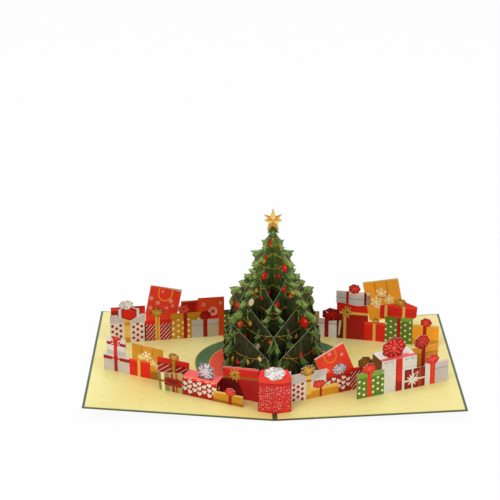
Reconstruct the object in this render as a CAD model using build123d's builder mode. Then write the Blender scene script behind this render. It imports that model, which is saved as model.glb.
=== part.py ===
from build123d import *
from math import cos, pi, radians, sin, tan
import os

# A folded greeting card, opened almost flat, with a slotted paper fir tree over its fold
# and four rows of printed paper gifts in front of and behind the tree.
# X runs across the opened card, Y along its fold and away from the viewer, Z up.
# The origin is the middle of the fold's underside. All sizes are in millimetres.

# Card
card_width = 150.0  # closed card, from its spine to its fore edge
card_height = 200.0  # along the spine
spine_width = 4.0  # flat strip between the two scored lines
lift_left = 4.4  # degrees that the left half rises from the spine
lift_right = 3.0  # the same for the right half
cover_sheet = 0.5  # thickness of the folded cover
liner_sheet = 0.3  # thickness of the printed panels glued inside it
liner_margin = 2.0  # rim of the cover that shows round a liner

# Paper of the pop-up pieces
pop_sheet = 0.4  # thickness
seat_gap = 0.02  # air left where one sheet stands on or against another
slot_play = 0.12  # extra width of a halving slot over the sheet in it
slit_play = 0.25  # room round a tab in its slit
tab_length = 7.0  # of the tabs that go through the liners
tab_root = 2.0  # how far a tab's outline runs up into its sheet, past the liner

# Fir tree
tree_height = 124.0  # tip of the green paper above the liner
tree_pitch = 15.0  # between neighbouring slices
tree_turn = 45.0  # degrees between a slice and the X axis
leaf_depth = 4.2  # how far a notch lies behind the nearer of the tips beside it
leaf_barb = 1.6  # size of the small tooth under each branch tip
leaf_fullness = 0.22  # height of a branch's shoulder in its drop, for each pitch it reaches out
first_notch = 0.42  # the notch under an apex, as a share of the first tip's reach
first_rise = 0.3  # height of that notch over the first tip, as a share of the drop from the apex
slot_web = 1.6  # least paper between a slot and the notches and tips beside it
slot_below = 1.0  # how far the slots from below start under the card's underside
star_corners = 5
star_radius = 10.8
star_waist = 4.4  # inner radius of the star
star_rise = 5.0  # centre of the star above the green tip

# Gift walls
wall_angle = 20.0  # degrees between a wall and the X axis
back_apex = 78.0  # where the back wall crosses the fold
front_apex = -74.0  # where the front wall crosses the fold
row_gap_left = 15.5  # the front rows stand this far before the front wall, along the fold
row_gap_right = 19.5
bow_sink = 2.0  # how far a bow's outline reaches down into its box
bow_loops = 7
bow_scallops = (1.0, 0.93, 0.84, 0.93)  # radius of a bow's rim from one loop to the next
back_middle_end = 36.5  # the plain stretch behind the tree
back_middle_top = 20.0
front_middle_end = 14.0  # the plain stretch behind the box on the fold
front_middle_top = 27.0
lid_bow_back = 5.0  # a bow on a lid stands this far behind the front of its box

# Gift box over the fold
fold_box_front = 15.0  # its front edge before the front wall
fold_box_half = 13.0  # half its width
fold_box_point = 2.7  # how far its middle stands before its corners
fold_box_lean = 0.17  # how far its sides close in for each unit they go back
fold_box_top = 29.8
fold_bow_half = 9.0
fold_bow_low = 28.0
fold_bow_high = 40.2

paper_top = cover_sheet + liner_sheet


def lift_of(side):
    """Degrees that a half of the card rises."""
    return lift_left if side < 0 else lift_right


def bend_at(side, depth):
    """Distance from the fold at which a half's face starts to rise."""
    return spine_width / 2 - depth * tan(radians(lift_of(side) / 2))


def half_run(side):
    """Distance from the fold to a half's fore edge, on its underside."""
    return spine_width / 2 + (card_width - spine_width / 2) * cos(radians(lift_of(side)))


def surface(x, depth):
    """Height, at x, of the sheet face that lies depth above the card's underside."""
    side = -1 if x < 0 else 1
    return depth + max(0.0, abs(x) - bend_at(side, depth)) * tan(radians(lift_of(side)))


os.makedirs("parts", exist_ok=True)


def save(builder, name):
    """Label a finished piece and write it as its own file."""
    builder.part.label = name
    export_step(builder.part, "parts/" + name + ".step")


# Branch tips of the tree's slices, by how far the slice stands from the middle one.
# A tip is (distance from the slice's own middle in pitches, height in percent of the tree).
# The inner edge runs towards the fold: straight down to its valley, then in branches.
fir_slices = {
    0: {
        "apex": 100,
        "outer": [(0.97, 88.5), (1.7, 78.5), (1.62, 70), (1.95, 64.8), (2.2, 60.3), (2.65, 53.5),
                  (3.35, 47), (3.4, 36), (3.6, 25), (3.87, 14)],
        "outer_foot": 3.4,
        "tabs": (-1.5, 1.5),
    },
    1: {
        "apex": 66,
        "valley": (1.0, 53),
        "inner": [(1.65, 49.5), (1.85, 43.3), (2.2, 38), (2.45, 34), (2.87, 27.2), (3.6, 20.7), (3.7, 11)],
        "inner_foot": 3.35,
        "outer": [(0.8, 56.5), (1.47, 47), (2.0, 38), (2.53, 29), (2.85, 17)],
        "outer_foot": 2.5,
        "tabs": (-1.5, 1.5),
    },
    2: {
        "apex": 52,
        "valley": (2.0, 36),
        "inner": [(2.5, 27), (2.9, 18), (3.35, 10)],
        "inner_foot": 3.15,
        "outer": [(0.67, 43.5), (1.25, 35), (1.67, 25), (1.9, 14.5)],
        "outer_foot": 1.6,
        "tabs": (-0.5, 2.5),
    },
    3: {
        "apex": 41,
        "valley": (2.5, 26.5),
        "inner": [(2.75, 19), (2.85, 10)],
        "inner_foot": 2.55,
        "outer": [(0.5, 31.5), (0.8, 22), (0.88, 12)],
        "outer_foot": 0.7,
        "tabs": (-0.5, 1.5),
    },
}


def slice_place(family, step):
    """Plane of a slice, with its x along the paper and its y up."""
    run = Vector(family * cos(radians(tree_turn)), sin(radians(tree_turn)), 0)
    across = Vector(-family * sin(radians(tree_turn)), cos(radians(tree_turn)), 0)
    return Plane(origin=across * (step * tree_pitch), x_dir=run, z_dir=run.cross(Vector(0, 0, 1)))


def slice_x(family, step, distance):
    """World x of a point along a slice."""
    along = distance * cos(radians(tree_turn))
    across = step * tree_pitch * sin(radians(tree_turn))
    return family * (along - across)


def slice_ground(family, step, distance, depth):
    """Height of a card face under a point along a slice."""
    return surface(slice_x(family, step, distance), depth) + seat_gap


def fold_at(family, step, side):
    """Distance along a slice at which the half under it starts to rise."""
    across = step * tree_pitch * sin(radians(tree_turn))
    return (family * side * bend_at(side, paper_top) + across) / cos(radians(tree_turn))


def tip_reach(reach):
    """Reach of a branch tip, moved off the slot line beside it."""
    slot = round(reach / tree_pitch) * tree_pitch
    near = slot - slot_web
    far = slot + 2 * slot_web
    if slot > 0 and near < reach < far:
        return near if reach - near < far - reach else far
    return reach


def notch_reach(upper, lower):
    """Reach of the notch between two branch tips, on the same side of a slot line as both."""
    notch = min(upper, lower) - leaf_depth
    slot = min(upper, lower) // tree_pitch * tree_pitch
    return max(notch, slot + slot_web)


def branches(start, tips):
    """Jagged edge down through the tips, from a first notch at the start."""
    tips = [(tip_reach(reach), height) for reach, height in tips]
    points = []
    notch = start
    for (reach, height), lower in zip(tips, tips[1:] + [None]):
        fullness = leaf_fullness * reach / tree_pitch
        shoulder = ((notch[0] + reach) / 2, height + fullness * (notch[1] - height))
        points += [notch, shoulder, (reach, height)]
        if lower:
            notch = (notch_reach(reach, lower[0]), (height + lower[1]) / 2)
            tooth = min(leaf_barb, (height - notch[1]) / 2)
            middle = ((reach + notch[0]) / 2, (height + notch[1]) / 2)
            points.append((middle[0] - tooth / 2, middle[1] + tooth / 2))
            points.append((middle[0] + tooth / 2, middle[1] - tooth / 4))
    return points


def slice_edge(step, edge):
    """Points down one edge of a slice, as (distance from its middle, height), foot last."""
    shape = fir_slices[abs(step)]
    edge = edge if edge in shape else "outer"
    tips = [(reach * tree_pitch, height * tree_height / 100) for reach, height in shape[edge]]
    if edge == "inner":
        start = (shape["valley"][0] * tree_pitch, shape["valley"][1] * tree_height / 100)
    else:
        reach, height = tips[0]
        drop = shape["apex"] * tree_height / 100 - height
        start = (first_notch * reach, height + first_rise * drop)
    return branches(start, tips) + [(shape[edge + "_foot"] * tree_pitch, 0.0)]


def slice_outline(family, step):
    """Closed outline of a slice on its plane, with its foot on the liners."""
    inward = -1 if step <= 0 else 1
    apex = fir_slices[abs(step)]["apex"] * tree_height / 100
    inner = [(inward * reach, height) for reach, height in slice_edge(step, "inner")]
    outer = [(-inward * reach, height) for reach, height in slice_edge(step, "outer")]
    rim = inner[::-1] + [(0.0, apex)] + outer
    points = [(reach, height + paper_top + seat_gap) for reach, height in rim[1:-1]]
    points.append((rim[-1][0], slice_ground(family, step, rim[-1][0], paper_top)))
    folds = [fold_at(family, step, side) for side in (-1, 1)]
    low, high = sorted((rim[0][0], rim[-1][0]))
    for place in sorted(folds, reverse=rim[-1][0] > rim[0][0]):
        if low < place < high:
            points.append((place, slice_ground(family, step, place, paper_top)))
    points.append((rim[0][0], slice_ground(family, step, rim[0][0], paper_top)))
    return points


def edge_of(step, distance):
    """Name of the edge of a slice on the side of a distance from its middle."""
    inward = -1 if step <= 0 else 1
    return "outer" if step == 0 or distance * inward < 0 else "inner"


def reaches(step, distance):
    """Whether a slice has paper down to the card at a distance from its middle."""
    foot = fir_slices[abs(step)][edge_of(step, distance) + "_foot"]
    return abs(distance) < foot * tree_pitch


def rough_height(step, distance):
    """Height of a slice's edge over a distance from its middle, leaving out the notches."""
    shape = fir_slices[abs(step)]
    edge = edge_of(step, distance)
    line = [(0.0, shape["apex"])]
    if edge == "inner":
        line.append(shape["valley"])
    line += shape[edge]
    away = abs(distance) / tree_pitch
    for (reach, height), (next_reach, next_height) in zip(line, line[1:]):
        if reach <= away <= next_reach:
            share = (away - reach) / (next_reach - reach)
            return (height + share * (next_height - height)) * tree_height / 100
    return line[-1][1] * tree_height / 100


def slot_middle(step_a, step_b):
    """Height at which the slots of two crossing slices meet."""
    top = min(rough_height(step_a, step_b * tree_pitch), rough_height(step_b, step_a * tree_pitch))
    ground = slice_ground(1, step_a, step_b * tree_pitch, paper_top)
    return ground + top / 2


def star_outline():
    """Star on the middle slices, one point up, with paper left between its legs."""
    centre = tree_height + star_rise + paper_top
    points = []
    for corner in range(2 * star_corners):
        radius = star_radius if corner % 2 == 0 else star_waist
        angle = pi / 2 + corner * pi / star_corners
        if corner != star_corners:
            points.append((radius * cos(angle), centre + radius * sin(angle)))
    return points


def slice_tabs(step):
    """Places of a slice's tabs along it."""
    inward = -1 if step <= 0 else 1
    return [place * inward * tree_pitch for place in fir_slices[abs(step)]["tabs"]]


def tab_outline(ends, feet):
    """Outline of a tab between two places along a sheet, down to its feet's heights."""
    lower = list(zip(ends, feet))
    upper = [(end, foot + tab_root) for end, foot in lower[::-1]]
    return lower + upper


# One family of slices runs from front left to back right and is slotted from above.
# The other is its mirror image, slotted from below, and hangs over the first.
slit_list = []
tree_steps = range(-3, 4)
for family, letter in ((1, "a"), (-1, "b")):
    for step in tree_steps:
        with BuildPart() as tree_slice:
            with BuildSketch(slice_place(family, step)):
                Polygon(*slice_outline(family, step), align=None)
                if step == 0:
                    Polygon(*star_outline(), align=None)
                for place in slice_tabs(step):
                    ends = (place - tab_length / 2, place + tab_length / 2)
                    feet = [slice_ground(family, step, end, cover_sheet) for end in ends]
                    Polygon(*tab_outline(ends, feet), align=None)
                    spot = slice_place(family, step).from_local_coords(Vector(place, 0, 0))
                    slit_list.append((spot.X, spot.Y, family * tree_turn))
                for other in tree_steps:
                    place = other * tree_pitch
                    if not (reaches(step, place) and reaches(other, step * tree_pitch)):
                        continue
                    if family == 1:
                        low = slot_middle(step, other)
                        high = 2 * tree_height
                    else:
                        low = -slot_below
                        high = slot_middle(other, step) + seat_gap
                    with Locations((place, (low + high) / 2)):
                        Rectangle(pop_sheet + slot_play, high - low, mode=Mode.SUBTRACT)
            extrude(amount=pop_sheet / 2, both=True)
        save(tree_slice, "tree_slice_" + letter + str(step + 4))


# Gifts on the walls. Every place is (distance along the wall from the fold, height above the card).
def box(start, end, bottom, top):
    """Outline of a wrapped box seen from the front."""
    return [(start, bottom), (end, bottom), (end, top), (start, top)]


def sloped(start, end, start_top, end_top):
    """Outline of a box that stands on the card, with a top that rises or falls outwards."""
    return [(start, 0.0), (end, 0.0), (end, end_top), (start, start_top)]


def bag(middle, height, width, tall, lean):
    """Outline of a gift bag leaning towards the fold by some degrees."""
    turn = radians(lean)
    points = []
    for x, y in ((-1, -1), (1, -1), (1, 1), (-1, 1)):
        along = x * width / 2
        up = y * tall / 2
        place = middle + along * cos(turn) - up * sin(turn)
        points.append((place, height + along * sin(turn) + up * cos(turn)))
    return points


def bow(middle, bottom, width, top):
    """Scalloped outline of a ribbon bow."""
    points = []
    corners = bow_loops * len(bow_scallops)
    for corner in range(corners):
        angle = 2 * pi * corner / corners
        scallop = bow_scallops[corner % len(bow_scallops)]
        x = middle + width / 2 * scallop * cos(angle)
        y = (bottom + top) / 2 + (top - bottom) / 2 * scallop * sin(angle)
        points.append((x, y))
    return points


def bow_on(middle, box_top, width, top):
    """Bow whose outline sinks a little into the box under it."""
    return bow(middle, box_top - bow_sink, width, top)


back_left_gifts = [
    box(35.5, 48.0, 0.0, 23.7),
    box(43.0, 66.7, 0.0, 36.1),
    box(60.0, 82.0, 0.0, 34.4),
    box(64.0, 91.6, 0.0, 23.4),
    bow_on(80.0, 23.4, 11.0, 31.4),
    box(90.0, 115.0, 0.0, 18.7),
    bow_on(102.0, 18.7, 11.0, 27.2),
    bag(98.0, 32.0, 28.0, 32.0, 12.0),
    box(113.5, 145.0, 0.0, 25.4),
    box(114.0, 144.0, 19.0, 32.5),
    bow_on(130.5, 32.5, 13.2, 38.2),
]
back_right_gifts = [
    box(33.5, 44.5, 0.0, 23.2),
    box(43.7, 66.0, 0.0, 17.0),
    bow_on(55.7, 17.0, 18.5, 27.3),
    box(60.2, 88.1, 0.0, 33.0),
    box(59.5, 89.7, 32.0, 43.7),
    bow_on(75.5, 43.7, 11.0, 50.8),
    bag(101.3, 38.7, 31.3, 35.3, 11.5),
    box(84.9, 103.4, 0.0, 17.4),
    bow_on(94.8, 17.4, 6.0, 21.4),
    [(98.4, 22.0), (127.0, 22.9), (130.2, 25.1), (130.8, 34.2), (122.0, 37.2), (103.0, 34.5), (98.4, 33.6)],
    bow_on(116.2, 36.7, 10.0, 40.7),
    box(103.2, 127.3, 0.0, 23.7),
    box(127.0, 150.0, 0.0, 18.5),
    bow_on(138.8, 18.5, 10.4, 25.0),
]
front_left_gifts = [
    sloped(13.0, 42.4, 28.6, 25.1),
    box(41.4, 72.8, 0.0, 15.6),
    box(71.9, 99.2, 0.0, 21.3),
    bow_on(85.1, 21.3, 9.4, 26.9),
    sloped(94.3, 121.3, 27.6, 28.5),
    box(105.8, 124.5, 0.0, 14.1),
    sloped(123.9, 146.7, 17.5, 14.8),
    box(126.9, 143.6, 14.0, 29.2),
    bow_on(135.0, 29.2, 9.0, 30.9),
]
front_right_gifts = [
    box(13.0, 44.8, 0.0, 23.4),
    bow_on(28.6, 23.4, 13.0, 29.4),
    bag(50.8, 26.3, 26.4, 26.0, 22.5),
    box(44.0, 70.0, 0.0, 18.8),
    bow(55.6, 15.4, 12.9, 25.8),
    box(69.0, 76.5, 0.0, 19.0),
    bow_on(77.4, 19.1, 12.1, 27.1),
    box(76.0, 120.0, 0.0, 23.4),
    box(119.0, 142.6, 0.0, 25.4),
    bow_on(128.0, 25.4, 14.0, 35.9),
]
row_left_gifts = [
    box(26.2, 51.0, 0.0, 9.2),
    bow_on(37.0, 9.2, 9.4, 14.2),
    box(48.2, 77.3, 0.0, 15.5),
    [(77.0, 0.0), (97.0, 0.0), (98.5, 14.4), (77.0, 17.4)],
]
row_right_gifts = [
    box(69.5, 93.0, 0.0, 21.6),
    bow_on(80.0, 21.6, 12.4, 29.1),
    box(91.0, 121.4, 0.0, 28.0),
    box(111.0, 129.0, 0.0, 16.6),
    box(128.8, 149.8, 0.0, 18.9),
    bow_on(135.3, 18.9, 12.2, 25.9),
]


def wall_place(apex, side, way):
    """Plane of one half of a wall, with its x outwards along the paper and its y up."""
    run = Vector(side * cos(radians(wall_angle)), way * sin(radians(wall_angle)), 0)
    return Plane(origin=(0, apex, 0), x_dir=run, z_dir=run.cross(Vector(0, 0, 1)))


def wall_ground(side, along, depth):
    """Height of a card face under a place along a wall."""
    return surface(side * along * cos(radians(wall_angle)), depth) + seat_gap


def standing(side, outline):
    """An outline in a wall's plane, from its places along the wall and above the card."""
    return [(along, wall_ground(side, along, paper_top) + height) for along, height in outline]


def middle_strip(side, end, top):
    """Outline of the stretch next to the fold, which bends with the card under it."""
    lap = pop_sheet / 2 * tan(radians(wall_angle))
    kink = bend_at(side, paper_top) / cos(radians(wall_angle))
    return [(-lap, 0.0), (kink, 0.0), (end, 0.0), (end, top), (kink, top), (-lap, top)]


def draw_wall(place, side, outlines, tabs):
    """Sketch one half of a wall, with the tabs that go through the liner, and note their slits."""
    for outline in outlines:
        Polygon(*standing(side, outline), align=None)
    for along in tabs:
        ends = (along - tab_length / 2, along + tab_length / 2)
        feet = [wall_ground(side, end, cover_sheet) for end in ends]
        Polygon(*tab_outline(ends, feet), align=None)
        spot = place.from_local_coords(Vector(along, 0, 0))
        turn = place.x_dir.get_signed_angle(Vector(1, 0, 0), Vector(0, 0, -1))
        slit_list.append((spot.X, spot.Y, turn))


# The back wall and the front wall are each one sheet, creased over the fold.
for name, apex, way, middle, halves in (
    ("back_wall", back_apex, -1, (back_middle_end, back_middle_top),
     ((-1, back_left_gifts, (55.0, 120.0)), (1, back_right_gifts, (55.0, 120.0)))),
    ("front_wall", front_apex, 1, (front_middle_end, front_middle_top),
     ((-1, front_left_gifts, (30.0, 110.0)), (1, front_right_gifts, (30.0, 110.0)))),
):
    with BuildPart() as wall:
        for side, gifts, tabs in halves:
            place = wall_place(apex, side, way)
            with BuildSketch(place):
                draw_wall(place, side, [middle_strip(side, *middle)] + gifts, tabs)
            extrude(amount=pop_sheet / 2, both=True)
    save(wall, name)

# Each front row is a wall with one box whose lid and ends are folded back to the front wall.
# A bow stands on that lid.
for name, side, row_gap, gifts, tabs, lid, lid_bow in (
    ("front_row_left", -1, row_gap_left, row_left_gifts,
     (38.0, 88.0), (48.2, 77.3, 15.5), (59.3, 14.8, 29.0)),
    ("front_row_right", 1, row_gap_right, row_right_gifts,
     (81.0, 139.0), (91.0, 121.4, 28.0), (103.2, 21.5, 45.0)),
):
    start, end, top = lid
    bow_middle, bow_width, bow_top = lid_bow
    row_back = row_gap * cos(radians(wall_angle)) - pop_sheet / 2 - seat_gap
    back = Vector(-side * sin(radians(wall_angle)), cos(radians(wall_angle)), 0)
    place = wall_place(front_apex - row_gap, side, 1)
    bow_place = Plane(origin=place.origin + back * lid_bow_back, x_dir=place.x_dir, z_dir=place.z_dir)
    with BuildPart() as row:
        with BuildSketch(place):
            draw_wall(place, side, gifts, tabs)
        extrude(amount=pop_sheet / 2, both=True)
        with BuildSketch(place):
            Polygon(*standing(side, box(start, end, top - pop_sheet, top)), align=None)
            Polygon(*standing(side, box(start, start + pop_sheet, 0.0, top)), align=None)
            Polygon(*standing(side, box(end - pop_sheet, end, 0.0, top)), align=None)
        extrude(amount=row_back, dir=back)
        with BuildSketch(bow_place):
            Polygon(*standing(side, bow_on(bow_middle, top, bow_width, bow_top)), align=None)
            under_lid = box(start, end, 0.0, top - pop_sheet / 2)
            Polygon(*standing(side, under_lid), align=None, mode=Mode.SUBTRACT)
        extrude(amount=pop_sheet / 2, both=True)
    save(row, name)

# The box over the fold: two front panels, two sides that run back to the front wall, and a lid.
front_line = front_apex - fold_box_front
corner_line = front_line + fold_box_point
side_run = 2 * fold_box_front
plan = [
    (0.0, front_line),
    (fold_box_half, corner_line),
    (fold_box_half - fold_box_lean * side_run, corner_line + side_run),
    (-fold_box_half + fold_box_lean * side_run, corner_line + side_run),
    (-fold_box_half, corner_line),
]
wall_face = front_apex - pop_sheet / 2 / cos(radians(wall_angle)) - seat_gap
behind_wall = [
    (0.0, wall_face),
    (card_width, wall_face + card_width * tan(radians(wall_angle))),
    (card_width, card_height),
    (-card_width, card_height),
    (-card_width, wall_face + card_width * tan(radians(wall_angle))),
]
lid_height = paper_top + fold_box_top
with BuildPart() as fold_box:
    with BuildSketch():
        Polygon(*plan, align=None)
        offset(amount=-pop_sheet, mode=Mode.SUBTRACT)
        Polygon(*behind_wall, align=None, mode=Mode.SUBTRACT)
    extrude(amount=lid_height)
    with BuildSketch(Plane.XY.offset(lid_height - pop_sheet)):
        Polygon(*plan, align=None)
        Polygon(*behind_wall, align=None, mode=Mode.SUBTRACT)
    extrude(amount=pop_sheet)
    for side in (-1, 1):
        run = Vector(side * fold_box_half, fold_box_point, 0).normalized()
        inward = Vector(-run.Y * side, run.X * side, 0)
        panel = Plane(origin=(0, front_line, paper_top), x_dir=run, z_dir=run.cross(Vector(0, 0, 1)))
        with BuildSketch(panel):
            Polygon(*bow(0.0, fold_bow_low, 2 * fold_bow_half, fold_bow_high), align=None)
            with Locations((-fold_bow_half, fold_box_top)):
                Rectangle(2 * fold_bow_half, 2 * fold_box_top, mode=Mode.SUBTRACT)
        extrude(amount=pop_sheet, dir=inward)
    with BuildSketch(Plane.XZ):
        bends = (-card_width, -bend_at(-1, paper_top), bend_at(1, paper_top), card_width)
        ground = [(x, surface(x, paper_top) + seat_gap) for x in bends]
        Polygon(*ground, (card_width, -card_width), (-card_width, -card_width), align=None)
    extrude(amount=card_height, both=True, mode=Mode.SUBTRACT)
save(fold_box, "fold_box")


def cover_face(depth):
    """Points along a face of the cover, from its left edge to its right edge."""
    places = (-half_run(-1), -bend_at(-1, depth), bend_at(1, depth), half_run(1))
    return [(x, surface(x, depth)) for x in places]


# The cover is one sheet with a flat spine. Its halves rise from the two scored lines.
with BuildPart() as cover:
    with BuildSketch(Plane.XZ):
        Polygon(*cover_face(0.0), *cover_face(cover_sheet)[::-1], align=None)
    extrude(amount=card_height / 2, both=True)
save(cover, "cover")

# The liners stop at the scored lines and are slit for the tabs of the pieces above them.
for name, side in (("liner_left", -1), ("liner_right", 1)):
    with BuildPart() as liner:
        with BuildSketch(Plane.XZ):
            ends = (side * spine_width / 2, side * (half_run(side) - liner_margin))
            under = [(x, surface(x, cover_sheet)) for x in ends]
            upper = [(x, surface(x, paper_top)) for x in ends[::-1]]
            Polygon(*under, *upper, align=None)
        extrude(amount=card_height / 2 - liner_margin, both=True)
        with BuildSketch():
            for x, y, turn in slit_list:
                if x * side > 0:
                    with Locations(Location((x, y, 0), (0, 0, turn))):
                        Rectangle(tab_length + 2 * slit_play, pop_sheet + 2 * slit_play)
        extrude(amount=card_width, mode=Mode.SUBTRACT)
    save(liner, name)
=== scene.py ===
import random
from math import ceil, cos, pi, radians, sin, sqrt, tan

import bmesh
import bpy
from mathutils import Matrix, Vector


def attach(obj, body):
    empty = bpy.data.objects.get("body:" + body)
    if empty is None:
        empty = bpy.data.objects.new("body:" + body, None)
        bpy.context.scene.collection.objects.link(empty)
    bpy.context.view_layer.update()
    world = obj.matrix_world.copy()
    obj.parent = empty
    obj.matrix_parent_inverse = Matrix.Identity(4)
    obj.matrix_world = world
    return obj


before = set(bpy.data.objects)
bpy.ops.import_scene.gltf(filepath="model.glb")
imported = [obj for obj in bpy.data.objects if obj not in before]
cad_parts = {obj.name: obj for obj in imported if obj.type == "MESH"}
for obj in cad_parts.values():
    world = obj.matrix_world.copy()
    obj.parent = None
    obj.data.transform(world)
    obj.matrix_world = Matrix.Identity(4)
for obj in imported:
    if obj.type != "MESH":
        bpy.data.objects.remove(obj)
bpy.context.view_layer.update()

# An opened pop-up greeting card. All lengths here are in millimetres, as in the part's source,
# and MM turns them into Blender's metres. The print on each sheet is thin raised colour fields.
MM = 0.001
random.seed(24)

# Sizes shared with the part's source
card_width = 150.0
card_height = 200.0
spine_width = 4.0
lift_left = 4.4
lift_right = 3.0
cover_sheet = 0.5
liner_sheet = 0.3
pop_sheet = 0.4
seat_gap = 0.02
tree_height = 124.0
tree_pitch = 15.0
leaf_depth = 4.2
leaf_fullness = 0.22
first_notch = 0.42
first_rise = 0.3
slot_web = 1.6
star_radius = 10.8
star_waist = 4.4
star_rise = 5.0
wall_angle = radians(20.0)
back_apex = 78.0
front_apex = -74.0
row_gap_left = 15.5
row_gap_right = 19.5
lid_bow_back = 5.0
fold_box_front = 15.0
fold_box_half = 13.0
fold_box_point = 2.7
fold_box_lean = 0.17
fold_box_top = 29.8
fold_bow_half = 9.0
fold_bow_low = 28.0
fold_bow_high = 40.2
bow_loops = 7
bow_scallops = (1.0, 0.93, 0.84, 0.93)
paper_top = cover_sheet + liner_sheet
spine_edge = spine_width / 2

ink = 0.005  # height of one layer of print
ink_root = 0.03  # how far a printed field reaches down into its sheet


def lift_of(side):
    """Angle that a half of the card rises."""
    return radians(lift_left if side < 0 else lift_right)


def surface(x, depth):
    """Height, at x, of the sheet face that lies depth above the card's underside."""
    lift = lift_of(-1 if x < 0 else 1)
    bend = spine_edge - depth * tan(lift / 2)
    return depth + max(0.0, abs(x) - bend) * tan(lift)


def link(name, data):
    """New object in the scene, with its mesh, camera or lamp data."""
    item = bpy.data.objects.new(name, data)
    bpy.context.scene.collection.objects.link(item)
    return item


def look(item, place, target):
    """Stand a camera or lamp at a place and turn it to a target."""
    item.location = place
    item.rotation_euler = (Vector(target) - Vector(place)).to_track_quat("-Z", "Y").to_euler()


# Camera at the photograph's place
camera_place = Vector((-28.62, -1271.80, 563.84)) * MM
camera_target = Vector((-18.59, 0.0, 105.10)) * MM
camera_data = bpy.data.cameras.new("camera")
camera_data.sensor_width = 36.0
camera_data.lens = 120.0
camera = link("camera", camera_data)
look(camera, camera_place, camera_target)
bpy.context.scene.camera = camera


# Colours, given as they are read off a screen
def rgb(red, green, blue):
    """Linear colour for screen values from 0 to 255."""
    def linear(value):
        value = value / 255
        return value / 12.92 if value <= 0.04045 else ((value + 0.055) / 1.055) ** 2.4
    return (linear(red), linear(green), linear(blue), 1.0)


INKS = {
    "red": (212, 26, 12), "red_deep": (160, 16, 8), "red_wall": (184, 24, 28), "red_dark": (104, 8, 6),
    "red_light": (230, 56, 30), "red_pale": (232, 92, 74), "red_lid": (238, 44, 36), "body": (196, 26, 20),
    "rose": (226, 88, 86), "orange": (222, 68, 20), "gold": (204, 140, 28), "gold_warm": (238, 154, 34),
    "gold_deep": (160, 98, 14), "gold_dark": (104, 62, 12), "gold_light": (230, 184, 92),
    "cream": (240, 222, 170), "snow": (242, 238, 232), "white": (220, 212, 204),
    "white_shade": (196, 186, 180), "white_pink": (226, 196, 180), "grey": (140, 126, 118),
    "taupe": (196, 178, 148), "pink": (232, 176, 158), "green": (86, 118, 36),
    "green_light": (122, 156, 52), "green_deep": (50, 84, 28), "fir_deep": (36, 46, 17),
    "fir_mid": (66, 86, 36), "fir_light": (110, 142, 60), "fir_pale": (160, 184, 98),
    "silver": (204, 196, 204), "silver_dark": (112, 100, 112), "silver_mid": (162, 150, 162),
    "copper": (190, 108, 36), "brown": (128, 82, 30), "kraft": (176, 156, 100), "olive": (130, 124, 66),
    "liner_bow": (204, 208, 98), "rug_green": (62, 100, 62), "rug_red": (212, 70, 42),
    "rug_gold": (206, 164, 82), "star_light": (250, 216, 134), "star_deep": (212, 150, 66),
}
METALLIC = {"gold": 0.15, "gold_light": 0.15, "gold_deep": 0.15, "silver": 0.2, "rug_gold": 0.2}


def new_material(name):
    """Empty node material with its tree, its shader and an object-space texture coordinate."""
    material = bpy.data.materials.new(name)
    material.use_nodes = True
    tree = material.node_tree
    place = tree.nodes.new("ShaderNodeTexCoord")
    return material, tree, tree.nodes["Principled BSDF"], place.outputs["Object"]


def add(tree, kind, links=None, **values):
    """New node with its settings, its input values by name, and its links by input name."""
    node = tree.nodes.new(kind)
    for key, value in values.items():
        if hasattr(node, key):
            setattr(node, key, value)
        else:
            node.inputs[key].default_value = value
    for key, socket in (links or {}).items():
        tree.links.new(socket, node.inputs[key])
    return node


def mix(tree, share, first, second):
    """Colour mix: share is a number or a socket, first and second are colours or sockets."""
    node = tree.nodes.new("ShaderNodeMix")
    node.data_type = "RGBA"
    for index, value in ((0, share), (6, first), (7, second)):
        if isinstance(value, bpy.types.NodeSocket):
            tree.links.new(value, node.inputs[index])
        else:
            node.inputs[index].default_value = value
    return node.outputs[2]


def ramp(tree, value, low, high):
    """Share from 0 to 1 as a value goes from low to high."""
    node = add(tree, "ShaderNodeMapRange", {"Value": value})
    node.inputs["From Min"].default_value = low
    node.inputs["From Max"].default_value = high
    return node.outputs["Result"]


def clouds(tree, place, scale, low, high, detail=3.0):
    """Soft patches: a share from 0 to 1 that drifts from place to place."""
    noise = add(tree, "ShaderNodeTexNoise", {"Vector": place}, Scale=scale, Detail=detail)
    return ramp(tree, noise.outputs["Fac"], low, high)


def coat(tree, shader, place, colour, roughness, metallic=0.0, specular=0.5):
    """Colour and sheen of coated card, with a fine fibre bump."""
    tree.links.new(colour, shader.inputs["Base Color"])
    shader.inputs["Roughness"].default_value = roughness
    shader.inputs["Metallic"].default_value = metallic
    shader.inputs["Specular IOR Level"].default_value = specular
    fibres = add(tree, "ShaderNodeTexNoise", {"Vector": place}, Scale=1400.0, Detail=4.0)
    bump = add(tree, "ShaderNodeBump", {"Height": fibres.outputs["Fac"]}, Strength=0.12, Distance=0.00004)
    tree.links.new(bump.outputs["Normal"], shader.inputs["Normal"])


def scaled(colour, factor):
    """Lighter or darker colour."""
    return tuple(min(1.0, channel * factor) for channel in colour[:3]) + (1.0,)


def printed(name, colour, metallic):
    """Offset print on coated card: a screened speckle and a slow drift in the ink."""
    material, tree, shader, place = new_material(name)
    drift = clouds(tree, place, 45.0, 0.35, 0.65)
    speckle = clouds(tree, place, 1800.0, 0.35, 0.65)
    slow = mix(tree, drift, scaled(colour, 0.86), scaled(colour, 1.12))
    fine = mix(tree, speckle, slow, scaled(colour, 1.25))
    coat(tree, shader, place, mix(tree, 0.3, slow, fine), 0.5, metallic, 0.3)
    return material


MATERIALS = {
    name: printed("ink_" + name, rgb(*colour), METALLIC.get(name, 0.0)) for name, colour in INKS.items()
}


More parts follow.
